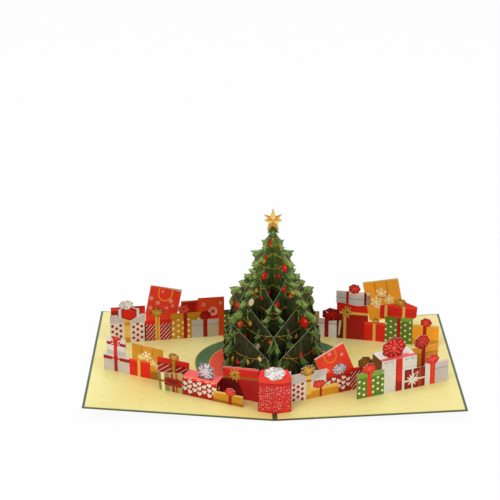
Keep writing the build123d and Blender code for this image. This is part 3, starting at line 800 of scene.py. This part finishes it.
class FoldPanel(Wall):
    """Half of the front of the box over the fold. A place on it is (x, height above the spine)."""

    def __init__(self, name, side, inset=0.0):
        run = Vector((side * fold_box_half, fold_box_point, 0)).normalized()
        inward = Vector((-run.y * side, run.x * side, 0)) * inset
        origin = Vector((0, front_apex - fold_box_front, paper_top)) + inward
        Sheet.__init__(self, name, origin, run, (0, 0, 1), half=0.0, faces=(-side if inset else side,))
        self.side = side
        self.window = rectangle(crease_gap, 2 * fold_box_half, 0, 2 * fold_box_top)

    def put(self, outline, ink_name, rank=0, above=0.0):
        """Print the part of a shape that is on this half."""
        shape = clipped([(self.side * x, height) for x, height in outline], self.window)
        self.lay(shape, ink_name, rank * RANK + above)


def fold_box_print(side):
    """Print on one half of the box over the fold: front, flank, lid and the half of its bow."""
    name = "fold_box_" + ("left" if side < 0 else "right")
    front_line = front_apex - fold_box_front
    corner = front_line + fold_box_point
    length = sqrt(fold_box_half ** 2 + fold_box_point ** 2)
    rise = surface(side * fold_box_half, paper_top) - paper_top + 2 * seat_gap
    top, rim = fold_box_top, fold_box_top - lid_band
    front = FoldPanel(name + "_front", side)
    front.lay([(crease_gap, 0.05), (2.0, 0.05), (length, rise), (length, top), (crease_gap, top)], "body", 0)
    fleck = rectangle(-fleck_half, fleck_half, -fleck_half_width, fleck_half_width)
    for column in range(fleck_columns):
        for row in range(fleck_rows):
            x = 1.0 + fleck_pitch * column + random.uniform(-0.5, 0.5)
            y = 2.6 + fleck_row_pitch * row + random.uniform(-0.6, 0.6)
            shape = turned(fleck, x, y, side * random.uniform(-1.2, 0.2))
            front.lay(shape, "red_pale" if random.random() < 0.55 else "white_pink", 1)
    front.lay(rectangle(crease_gap, length, rim, top), "red_light", 2)
    front.lay(rectangle(crease_gap, length, rim - 0.5, rim), "red_dark", 2)
    front.lay(rectangle(length - 0.4, length, rise, top), "red_dark", 3)
    front.bow(0.0, fold_bow_low + 2.0, 2 * fold_bow_half, fold_bow_high, "white", 1)
    behind = FoldPanel(name + "_bow_back", side, pop_sheet)
    behind.window = rectangle(0.3, 2 * fold_box_half, top + 0.1, 2 * top)
    behind.put(scallops(0.0, fold_bow_low, 2 * fold_bow_half, fold_bow_high), "white_shade")
    reach = fold_box_half * tan(wall_angle) + fold_box_front - fold_box_point - pop_sheet
    reach = reach / (1 + fold_box_lean * tan(wall_angle))
    flank_length = reach * sqrt(1 + fold_box_lean ** 2)
    far_rise = rise - fold_box_lean * reach * tan(lift_of(side))
    flank_foot = (side * fold_box_half, corner, paper_top)
    flank_run = (-side * fold_box_lean, 1, 0)
    flank = Sheet(name + "_flank", flank_foot, flank_run, (0, 0, 1), half=0.0, faces=(side,))
    # Flank painted one step darker than the front, body and rim alike, as a side in shade
    flank.lay([(0.1, rise), (flank_length, far_rise), (flank_length, top), (0.1, top)], "red_deep", 0)
    flank.lay(rectangle(0.1, flank_length, rim, top), "red", 1)
    lid = Sheet(name + "_lid", (0, 0, paper_top + top), (1, 0, 0), (0, 1, 0), half=0.0, faces=(1,))
    back_x = fold_box_half - fold_box_lean * reach
    lid.lay([(0, front_line + 0.1), (side * (fold_box_half - 0.1), corner + 0.1),
             (side * (back_x - 0.1), corner + reach), (0, front_apex - pop_sheet)], "red_lid", 0)
    # Painted shadow of the bow on the lid, just behind its front edge
    lid.lay([(side * 0.1, front_line + 0.2), (side * 8, front_line + 1.9), (side * 6, front_line + 5.4),
             (side * 0.1, front_line + 6.5)], "red_deep", 1)
    for sheet in (front, behind, flank, lid):
        sheet.build()


for side in (-1, 1):
    fold_box_print(side)


# The liners and the outside of the cover
rug_rings = ((65.0, "rug_gold"), (64.2, "rug_green"), (53.0, "rug_gold"), (52.4, "rug_red"))
rug_middle = 1.0  # of the round rug under the tree, along the fold
rug_clear = 69.0  # radius round the rug that stays free of bows
strewn_pitch = 15.6
strewn_row_pitch = 13
strewn_reach = 94
cover_margin = 6.0  # bare card at the sides of the cover's print
cover_end_margin = 7.0
cover_fields = ((0.0, "gold"), (1.2, "red_deep"), (3.0, "gold"), (3.6, "red"))  # inset and ink
cover_flakes = (
    (36, 52, 15), (104, 64, 12), (76, 18, 20), (118, 4, 9), (34, -14, 11), (100, -40, 16), (50, -62, 13),
    (66, 76, 7), (126, -74, 7), (24, 84, 6), (128, 36, 6), (74, -80, 6), (24, -44, 6),
)


def liner_print(side, label, run):
    """Half of the round rug and the small bows strewn around it."""
    rug = Sheet("rug_" + label, (side * spine_edge, 0, surface(spine_edge, paper_top)), run, (0, 1, 0),
                "liner_paper", 0.0, (side,))
    window = rectangle(0.02, card_width, -card_height, card_height)
    for ring, (radius, name) in enumerate(rug_rings):
        rug.lay(clipped(disc(-spine_edge, rug_middle, radius, 72), window), name, 0.5 * ring)
    for column in range(9):
        for row in range(-7, 8):
            x = 9 + strewn_pitch * column
            y = strewn_row_pitch * row + strewn_row_pitch / 2 * (column % 2)
            if (x + spine_edge) ** 2 + (y - rug_middle) ** 2 > rug_clear ** 2 and abs(y) < strewn_reach:
                for angle in (0.25, pi - 0.25):
                    rug.lay(petal(x, y, angle, 2.1, 1.5), "liner_bow", 0)
    rug.build()


def cover_print(side, label, run):
    """Framed field of snowflakes on the outside of one half of the cover."""
    outside = Sheet("cover_" + label, (side * spine_edge, 0, 0), run, (0, 1, 0), "cover_card", 0.0, (-side,))
    wide, high = card_width - spine_edge - cover_margin, card_height / 2 - cover_end_margin
    for field, (inset, name) in enumerate(cover_fields):
        shape = rectangle(cover_margin + inset, wide - inset, -high + inset, high - inset)
        outside.lay(shape, name, 0.5 * field)
    for x, y, radius in cover_flakes:
        outside.lay(snowflake(x, y, radius, x * 0.7), "cream", 2.0)
        outside.lay(disc(x, y, radius * 0.26, 12), "gold", 2.5)
    outside.build()


for side, label in ((-1, "left"), (1, "right")):
    run = (side * cos(lift_of(side)), 0, sin(lift_of(side)))
    liner_print(side, label, run)
    if side < 0:
        cover_print(side, label, run)


# The tree: the outlines of its slices, as in the part's source
tree_turn = radians(45.0)
fir_slices = {
    0: {
        "apex": 100,
        "outer": [(0.97, 88.5), (1.7, 78.5), (1.62, 70), (1.95, 64.8), (2.2, 60.3), (2.65, 53.5),
                  (3.35, 47), (3.4, 36), (3.6, 25), (3.87, 14)],
        "outer_foot": 3.4,
    },
    1: {
        "apex": 66,
        "valley": (1.0, 53),
        "inner": [(1.65, 49.5), (1.85, 43.3), (2.2, 38), (2.45, 34), (2.87, 27.2), (3.6, 20.7), (3.7, 11)],
        "inner_foot": 3.35,
        "outer": [(0.8, 56.5), (1.47, 47), (2.0, 38), (2.53, 29), (2.85, 17)],
        "outer_foot": 2.5,
    },
    2: {
        "apex": 52,
        "valley": (2.0, 36),
        "inner": [(2.5, 27), (2.9, 18), (3.35, 10)],
        "inner_foot": 3.15,
        "outer": [(0.67, 43.5), (1.25, 35), (1.67, 25), (1.9, 14.5)],
        "outer_foot": 1.6,
    },
    3: {
        "apex": 41,
        "valley": (2.5, 26.5),
        "inner": [(2.75, 19), (2.85, 10)],
        "inner_foot": 2.55,
        "outer": [(0.5, 31.5), (0.8, 22), (0.88, 12)],
        "outer_foot": 0.7,
    },
}


def tip_reach(reach):
    """Reach of a branch tip, moved off the slot line beside it."""
    slot = round(reach / tree_pitch) * tree_pitch
    near = slot - slot_web
    far = slot + 2 * slot_web
    if slot > 0 and near < reach < far:
        return near if reach - near < far - reach else far
    return reach


def notch_reach(upper, lower):
    """Reach of the notch between two branch tips, on the same side of a slot line as both."""
    slot = min(upper, lower) // tree_pitch * tree_pitch
    return max(min(upper, lower) - leaf_depth, slot + slot_web)


def slice_edge(step, edge):
    """Branch tips down one edge of a slice and the jagged line through them, in millimetres."""
    shape = fir_slices[abs(step)]
    edge = edge if edge in shape else "outer"
    tips = [(tip_reach(reach * tree_pitch), height * tree_height / 100) for reach, height in shape[edge]]
    if edge == "inner":
        notch = (shape["valley"][0] * tree_pitch, shape["valley"][1] * tree_height / 100)
    else:
        reach, height = shape[edge][0][0] * tree_pitch, tips[0][1]
        notch = (first_notch * reach, height + first_rise * (shape["apex"] * tree_height / 100 - height))
    line = []
    for (reach, height), lower in zip(tips, tips[1:] + [None]):
        fullness = leaf_fullness * reach / tree_pitch
        line += [notch, ((notch[0] + reach) / 2, height + fullness * (notch[1] - height)), (reach, height)]
        if lower:
            notch = (notch_reach(reach, lower[0]), (height + lower[1]) / 2)
    return tips, line + [(shape[edge + "_foot"] * tree_pitch, 0.0)]


def within(point, outline):
    """Whether a point lies inside an outline."""
    x, y = point
    found = False
    for (ax, ay), (bx, by) in zip(outline, outline[1:] + outline[:1]):
        if (ay > y) != (by > y) and x < ax + (y - ay) / (by - ay) * (bx - ax):
            found = not found
    return found


def star_corner(corner, radius):
    """Corner of the star, counted round from its top."""
    angle = pi / 2 + corner * pi / 5
    return (radius * cos(angle), tree_height + star_rise + radius * sin(angle))


# What hangs on the slices: (family, step, distance in pitches, height in percent, size, colour)
slices = [(family, step) for family in (1, -1) for step in range(-3, 4)]
ornaments = [
    (-1, 0, -0.88, 74, 3.6, "red"), (1, 0, -0.69, 68, 3.7, "red"), (1, -1, -0.10, 60, 3.0, "red"),
    (1, -1, -0.71, 51, 3.0, "red"), (-1, 0, 2.8, 35.5, 3.5, "red"), (-1, 0, -2.5, 50, 2.8, "red_deep"),
    (-1, 0, -2.37, 41, 5.0, "red"), (1, 0, -2.53, 40.5, 3.4, "orange"), (1, 0, -1.69, 53, 3.6, "cream"),
    (1, 0, -3.05, 18, 3.5, "gold"), (-1, -3, -1.0, 19.5, 2.8, "gold_light"), (1, -1, -2.2, 27, 3.0, "cream"),
    (1, -3, 0.2, 20, 3.0, "red"), (-1, 0, -2.9, 22, 3.6, "red"), (-1, 0, -0.44, 67, 2.4, "red_deep"),
    (-1, 0, -0.41, 87, 1.6, "red_deep"),
]
stars = [(1, 0, -0.70, 78.5, 3.0), (-1, 0, -1.5, 59, 2.8), (1, 0, -1.3, 60, 2.6), (1, 0, -0.12, 87.5, 1.8)]
bows = [(1, 0, -0.22, 91, 4.6), (-1, -1, 0.1, 57, 5.0), (1, -2, 0.2, 42, 5.0)]
small_colours = ("red", "gold", "red_light", "gold_light", "cream", "orange", "red_deep", "red")
for family, step in slices:
    apex = fir_slices[abs(step)]["apex"]
    for row in range(int(apex / 8)):
        height = 7 + 8 * row + random.uniform(-2, 2)
        widest = max(0.3, 3.3 * (1 - height / max(apex, 66)) + 0.2)
        for place in (random.uniform(-widest, -0.1), random.uniform(0.1, widest)):
            colour = random.choice(small_colours)
            crowded = any(
                other[:2] == (family, step) and abs(other[2] - place) < 0.5 and abs(other[3] - height) < 7
                for other in ornaments
            )
            if not crowded:
                ornaments.append((family, step, place, height, random.uniform(1.6, 2.6), colour))

# Inks of the shine and of the rim of an ornament
HIGHLIGHT = {"red": "red_pale", "red_light": "white_pink", "gold": "cream", "gold_light": "cream",
             "cream": "white", "orange": "gold_light", "red_deep": "rose"}
RIM = {"red": "red_dark", "red_light": "red_deep", "gold": "gold_dark", "gold_light": "gold_deep",
       "cream": "gold_deep", "orange": "red_dark", "red_deep": "red_dark"}
FIR_TONES = ("fir_deep", "fir_mid", "fir_light", "fir_pale")
frond_share = 0.84  # size of the light field in a branch
needle_pitch = 2.1
needle_width = 0.27  # for each unit of length
bead_length = 0.9
bead_half = 0.2
bead_count = 56  # to each side of a slice's middle
NEEDLES = ((-0.42, 4.3, 0.0), (-0.95, 3.7, -0.3), (-1.45, 3.2, -0.4), (0.1, 3.4, 0.6))  # lean, length, rise


class FirSlice(Sheet):
    """One slice of the tree. A place on it is (distance from its middle, height above its foot)."""

    def __init__(self, family, step):
        run = (family * cos(tree_turn), sin(tree_turn), 0)
        across = Vector((-family * sin(tree_turn), cos(tree_turn), 0)) * (step * tree_pitch)
        name = "fir_" + ("a" if family > 0 else "b") + str(step + 4)
        super().__init__(name, across, run, (0, 0, 1), "fir_paper")
        self.family = family
        self.step = step
        self.apex = fir_slices[abs(step)]["apex"] * tree_height / 100
        self.inward = -1 if step <= 0 else 1
        inner = [(self.inward * reach, height) for reach, height in slice_edge(step, "inner")[1]]
        outer = [(-self.inward * reach, height) for reach, height in slice_edge(step, "outer")[1]]
        self.outline = inner[::-1] + [(0.0, self.apex)] + outer

    def put(self, shape, ink_name, layer):
        """Print a shape whose every corner is on the slice."""
        if all(within(point, self.outline) for point in shape):
            self.lay([(x, y + paper_top + seat_gap) for x, y in shape], ink_name, layer)

    def boughs(self):
        """A light frond and rows of needles for each branch."""
        for edge, way in (("inner", self.inward), ("outer", -self.inward)):
            tips, line = slice_edge(self.step, edge)
            for index, (reach, height) in enumerate(tips):
                notch, shoulder, tip, after = line[3 * index:3 * index + 4]
                if index == len(tips) - 1:
                    after = (reach - 5.0, height - 7.0)
                self.frond(way, (after, tip, shoulder, notch))
                root = ((notch[0] + after[0]) / 2, (notch[1] + after[1]) / 2)
                self.needles(way, tip, root, 1.2 * (len(tips) - index))

    def frond(self, way, corners):
        """Light field inside a branch, lighter on its upper side."""
        after, tip, shoulder, notch = corners
        middle = tuple((a + b + c) / 3 for a, b, c in zip(notch, tip, after))
        field = [tuple(m + frond_share * (p - m) for p, m in zip(point, middle)) for point in corners]
        tones = FIR_TONES[2:] if tip[1] > 0.4 * tree_height else FIR_TONES[1:]
        for shape, name, layer in ((field, tones[0], 0.2), ([middle] + field[1:], tones[1], 0.5)):
            self.put([(way * x, y) for x, y in shape], name, layer)

    def needles(self, way, tip, root, layer):
        """Needles from a branch's tip to the trunk, darker inwards and low on the tree."""
        reach, height = tip
        slope = 0.7 * (root[1] - height) / (root[0] - reach) - 0.15
        count = max(3, int(reach / needle_pitch))
        low = max(0.0, 1 - height / (0.85 * tree_height))
        for place in range(count):
            share = (place + 0.35) / count
            x = reach * (1 - 0.9 * share)
            y = height + slope * (x - reach)
            for lean, length, shift in NEEDLES:
                tint = random.random() + 0.5 * (share < 0.3) - 0.1 * (lean < -1)
                tint += 0.5 * height / tree_height - 0.15 - (0.1 + 1.9 * share) * low
                if tint < -0.1:
                    continue
                size = length * random.uniform(0.8, 1.15)
                needle = petal(0, 0, lean * (0.8 + 0.3 * random.random()), size, size * needle_width, 3)
                start = max(0.0, x - size * 0.7)
                shape = [(way * (start + px), y + shift + py) for px, py in needle]
                tone = FIR_TONES[(tint > 0.2) + (tint > 0.6) + (tint > 1.1)]
                self.put(shape, tone, layer + 0.3 * (tint > 0.6) + share)

    def crown(self):
        """Light needles down both sides of the tip."""
        for level in range(4):
            for way in (-1, 1):
                needle = petal(0, 0, -1.15, 4.2, 1.1, 3)
                shape = [(way * (0.2 + px), self.apex - 3.0 - 3.0 * level + py) for px, py in needle]
                self.put(shape, "fir_light" if level % 2 else "fir_pale", 14)

    def swags(self):
        """Strings of gold beads that hang across the slice."""
        for swag, percent in enumerate((92, 82, 71, 60, 48, 36, 24, 12)):
            slope = 0.3 if (swag + self.step) % 2 else -0.3
            places = [bead_length * bead for bead in range(-bead_count, bead_count + 1)]
            line = [(x, percent * tree_height / 100 + slope * x + 0.012 * x ** 2) for x in places]
            for bead, ((x, y), (after_x, after_y)) in enumerate(zip(line, line[1:])):
                strand = [(x, y - bead_half), (after_x, after_y - bead_half),
                          (after_x, after_y + bead_half), (x, y + bead_half)]
                self.put(strand, "gold_light" if bead % 3 == 0 else "gold", 16)

    def hung(self, items):
        """Place in millimetres, size and colour of the items that hang on this slice."""
        for family, step, place, percent, *rest in items:
            if (family, step) == (self.family, self.step):
                yield place * tree_pitch, percent * tree_height / 100, *rest

    def trimmings(self):
        """Ornaments, small stars and bows."""
        for x, y, radius, colour in self.hung(ornaments):
            self.put(disc(x, y, radius, 16), RIM[colour], 18)
            self.put(disc(x, y + 0.15, radius * 0.86), colour, 18.5)
            self.put(disc(x - 0.3 * radius, y + 0.35 * radius, radius * 0.3, 8), HIGHLIGHT[colour], 19)
            self.put(rectangle(x - 0.3, x + 0.3, y + radius, y + radius + 0.8), "gold", 18)
        for x, y, radius in self.hung(stars):
            points = []
            for corner in range(10):
                reach = radius * (0.42 if corner % 2 else 1)
                points.append((x + reach * sin(pi * corner / 5), y + reach * cos(pi * corner / 5)))
            self.put(points[::-1], "gold", 19)
            self.put(disc(x, y, radius * 0.3, 8), "gold_light", 19.5)
        for x, y, width in self.hung(bows):
            for angle in (0.35, pi - 0.35, -1.1, pi + 1.1):
                self.put(petal(x, y, angle, width / 2, width * 0.27), "red", 19)
            self.put(disc(x, y, width * 0.11, 8), "red_deep", 19.5)

    def star(self):
        """Light and dark facets of the star, which all meet in its middle."""
        middle = (0.0, tree_height + star_rise)
        facets = []
        for corner in (0, 2, 4, 6, 8):
            for other in (corner - 1, corner + 1):
                bright = (other > corner) == (corner < 5)
                if other != 5:
                    shape = [middle, star_corner(corner, 0.995 * star_radius), star_corner(other, star_waist)]
                    facets.append((shape, "star_light" if bright else "star_deep", 18 if bright else 18.2))
        facets.append(([star_corner(4, star_waist), star_corner(6, star_waist), middle], "star_deep", 17))
        for shape, name, layer in facets:
            self.lay([(x, y + paper_top) for x, y in shape], name, layer)


for family, step in slices:
    fir = FirSlice(family, step)
    fir.boughs()
    fir.crown()
    fir.swags()
    fir.trimmings()
    if step == 0:
        fir.star()
    fir.build()


# Materials of the sheets themselves
def board(name, colour, edge_colour):
    """Card with a grain, used where no print covers a sheet: its cut edges and tabs."""
    material, tree, shader, place = new_material(name)
    drift = clouds(tree, place, 60.0, 0.3, 0.7)
    coat(tree, shader, place, mix(tree, drift, colour, edge_colour), 0.6)
    return material


def along(tree, socket, direction):
    """How far a place or a normal reaches along a direction, to either side."""
    product = add(tree, "ShaderNodeVectorMath", {0: socket}, operation="DOT_PRODUCT")
    product.inputs[1].default_value = direction
    return add(tree, "ShaderNodeMath", {0: product.outputs["Value"]}, operation="ABSOLUTE").outputs[0]


def fir_material(family):
    """Dark fir print of a slice, with painted shade between the slices low down and near its middle, the
    light core of the paper on its cut edges and gold on the star's.
    """
    material, tree, shader, place = new_material("fir_print_" + ("a" if family > 0 else "b"))
    normal = add(tree, "ShaderNodeNewGeometry").outputs["Normal"]
    height = add(tree, "ShaderNodeSeparateXYZ", {"Vector": place}).outputs["Z"]
    stretched = add(tree, "ShaderNodeMapping", {"Vector": place})
    stretched.inputs["Scale"].default_value = (1.0, 1.0, 0.45)
    fine = clouds(tree, stretched.outputs["Vector"], 420.0, 0.36, 0.66, 5.0)
    tufts = clouds(tree, place, 110.0, 0.38, 0.64)
    # Darker low on the tree: partly the print, partly painted shade between the slices
    low = mix(tree, tufts, rgb(12, 12, 5), rgb(30, 33, 13))
    high = mix(tree, tufts, rgb(50, 70, 26), rgb(80, 108, 42))
    under = mix(tree, ramp(tree, height, 0.03, 0.11), low, high)
    # Painted shade near the slice's middle low down, where the slices crowd, deepened to near black
    inner = ramp(tree, along(tree, place, (family * sqrt(0.5), sqrt(0.5), 0.0)), 0.048, 0.012)
    lower = ramp(tree, height, 0.095, 0.06)
    shade = add(tree, "ShaderNodeMath", {0: inner, 1: lower}, operation="MULTIPLY")
    under = mix(tree, shade.outputs[0], under, rgb(13, 12, 6))
    leaf = mix(tree, 0.3, under, mix(tree, fine, under, rgb(104, 116, 54)))
    edge = ramp(tree, along(tree, normal, (sqrt(0.5), -family * sqrt(0.5), 0.0)), 0.7, 0.5)
    star = ramp(tree, height, 0.1252, 0.1258)
    core = mix(tree, star, rgb(134, 146, 112), rgb(204, 140, 52))
    face = mix(tree, star, leaf, rgb(224, 168, 80))
    coat(tree, shader, place, mix(tree, edge, face, core), 0.5, specular=0.3)
    return material


def liner_material():
    """Pale gold pearl paper with a painted sheen: slow clouds in its tone."""
    material, tree, shader, place = new_material("liner_print")
    cloud = clouds(tree, place, 14.0, 0.35, 0.68, 2.0)
    grain = clouds(tree, place, 900.0, 0.3, 0.7, 4.0)
    # Painted sheen: the tone drifts in slow clouds
    tone = mix(tree, cloud, rgb(224, 205, 118), rgb(234, 226, 150))
    speckled = mix(tree, grain, tone, rgb(248, 242, 190))
    coat(tree, shader, place, mix(tree, 0.25, tone, speckled), 0.42, 0.1, 0.3)
    return material


def cover_material():
    """Cover: dark green inside and on its edges, red outside."""
    material, tree, shader, place = new_material("cover_print")
    drift = clouds(tree, place, 30.0, 0.35, 0.65)
    inside = mix(tree, drift, rgb(44, 64, 30), rgb(60, 88, 46))
    outside = mix(tree, drift, rgb(160, 14, 14), rgb(188, 24, 20))
    normal = add(tree, "ShaderNodeNewGeometry").outputs["Normal"]
    under = ramp(tree, add(tree, "ShaderNodeSeparateXYZ", {"Vector": normal}).outputs["Z"], -0.4, -0.6)
    coat(tree, shader, place, mix(tree, under, inside, outside), 0.4)
    return material


def dress(material, nodes):
    """Give CAD nodes one material."""
    for node in nodes:
        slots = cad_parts[node].data.materials
        slots.clear()
        slots.append(material)


dress(board("core_paper", rgb(206, 196, 186), rgb(222, 212, 202)),
      ("back_wall", "front_wall", "front_row_left", "front_row_right"))
dress(board("fold_box_print", rgb(196, 26, 22), rgb(214, 36, 30)), ("fold_box",))
for letter, family in (("a", 1), ("b", -1)):
    dress(fir_material(family), ["tree_slice_" + letter + str(number) for number in range(1, 8)])
dress(liner_material(), ("liner_left", "liner_right"))
dress(cover_material(), ("cover",))


# Floor, lamps and world
def seen_white(tree, share, surface_shader, output):
    """Blend a surface with plain white for the rays that look straight at it."""
    rays = tree.nodes.new("ShaderNodeLightPath")
    straight = rays.outputs["Is Camera Ray"]
    for other in ("Is Glossy Ray", "Is Transmission Ray"):
        either = {0: straight, 1: rays.outputs[other]}
        straight = add(tree, "ShaderNodeMath", either, operation="MAXIMUM").outputs[0]
    amount = add(tree, "ShaderNodeMath", {0: straight}, operation="MULTIPLY")
    amount.inputs[1].default_value = share
    white = add(tree, "ShaderNodeEmission", Strength=1.0)
    white.inputs["Color"].default_value = (1.0, 1.0, 1.0, 1.0)
    links = {0: amount.outputs[0], 1: surface_shader.outputs[0], 2: white.outputs[0]}
    choose = add(tree, "ShaderNodeMixShader", links)
    tree.links.new(choose.outputs[0], output.inputs["Surface"])


def floor():
    """Pale floor just under the card."""
    reach, drop = 6.0, 0.0002
    data = bpy.data.meshes.new("floor")
    corners = [(x, y, -drop) for x, y in rectangle(-reach, reach, -reach, reach)]
    data.from_pydata(corners, [], [(0, 1, 2, 3)])
    link("floor", data)
    material, tree, shader, place = new_material("floor_pale")
    shader.inputs["Base Color"].default_value = (0.8, 0.8, 0.8, 1.0)
    shader.inputs["Roughness"].default_value = 0.9
    shader.inputs["Specular IOR Level"].default_value = 0.0
    seen_white(tree, 0.94, shader, tree.nodes["Material Output"])
    data.materials.append(material)


def surroundings():
    """White world and three soft lamps."""
    world = bpy.data.worlds.new("studio_world")
    bpy.context.scene.world = world
    world.use_nodes = True
    background = world.node_tree.nodes["Background"]
    background.inputs["Color"].default_value = (1.0, 1.0, 1.0, 1.0)
    background.inputs["Strength"].default_value = 0.52
    seen_white(world.node_tree, 1.0, background, world.node_tree.nodes["World Output"])
    for name, place, size, power in (
        ("key", (-1.2, -1.6, 2.1), 1.3, 31.0),
        ("fill", (1.8, -1.5, 1.5), 1.9, 16.0),
        ("top", (0.0, 0.7, 2.4), 1.8, 19.0),
    ):
        lamp = bpy.data.lights.new(name, "AREA")
        lamp.size = size
        lamp.energy = power
        look(link(name, lamp), place, (0, 0, 0.05))


floor()
surroundings()
bpy.context.scene.view_settings.view_transform = "Standard"
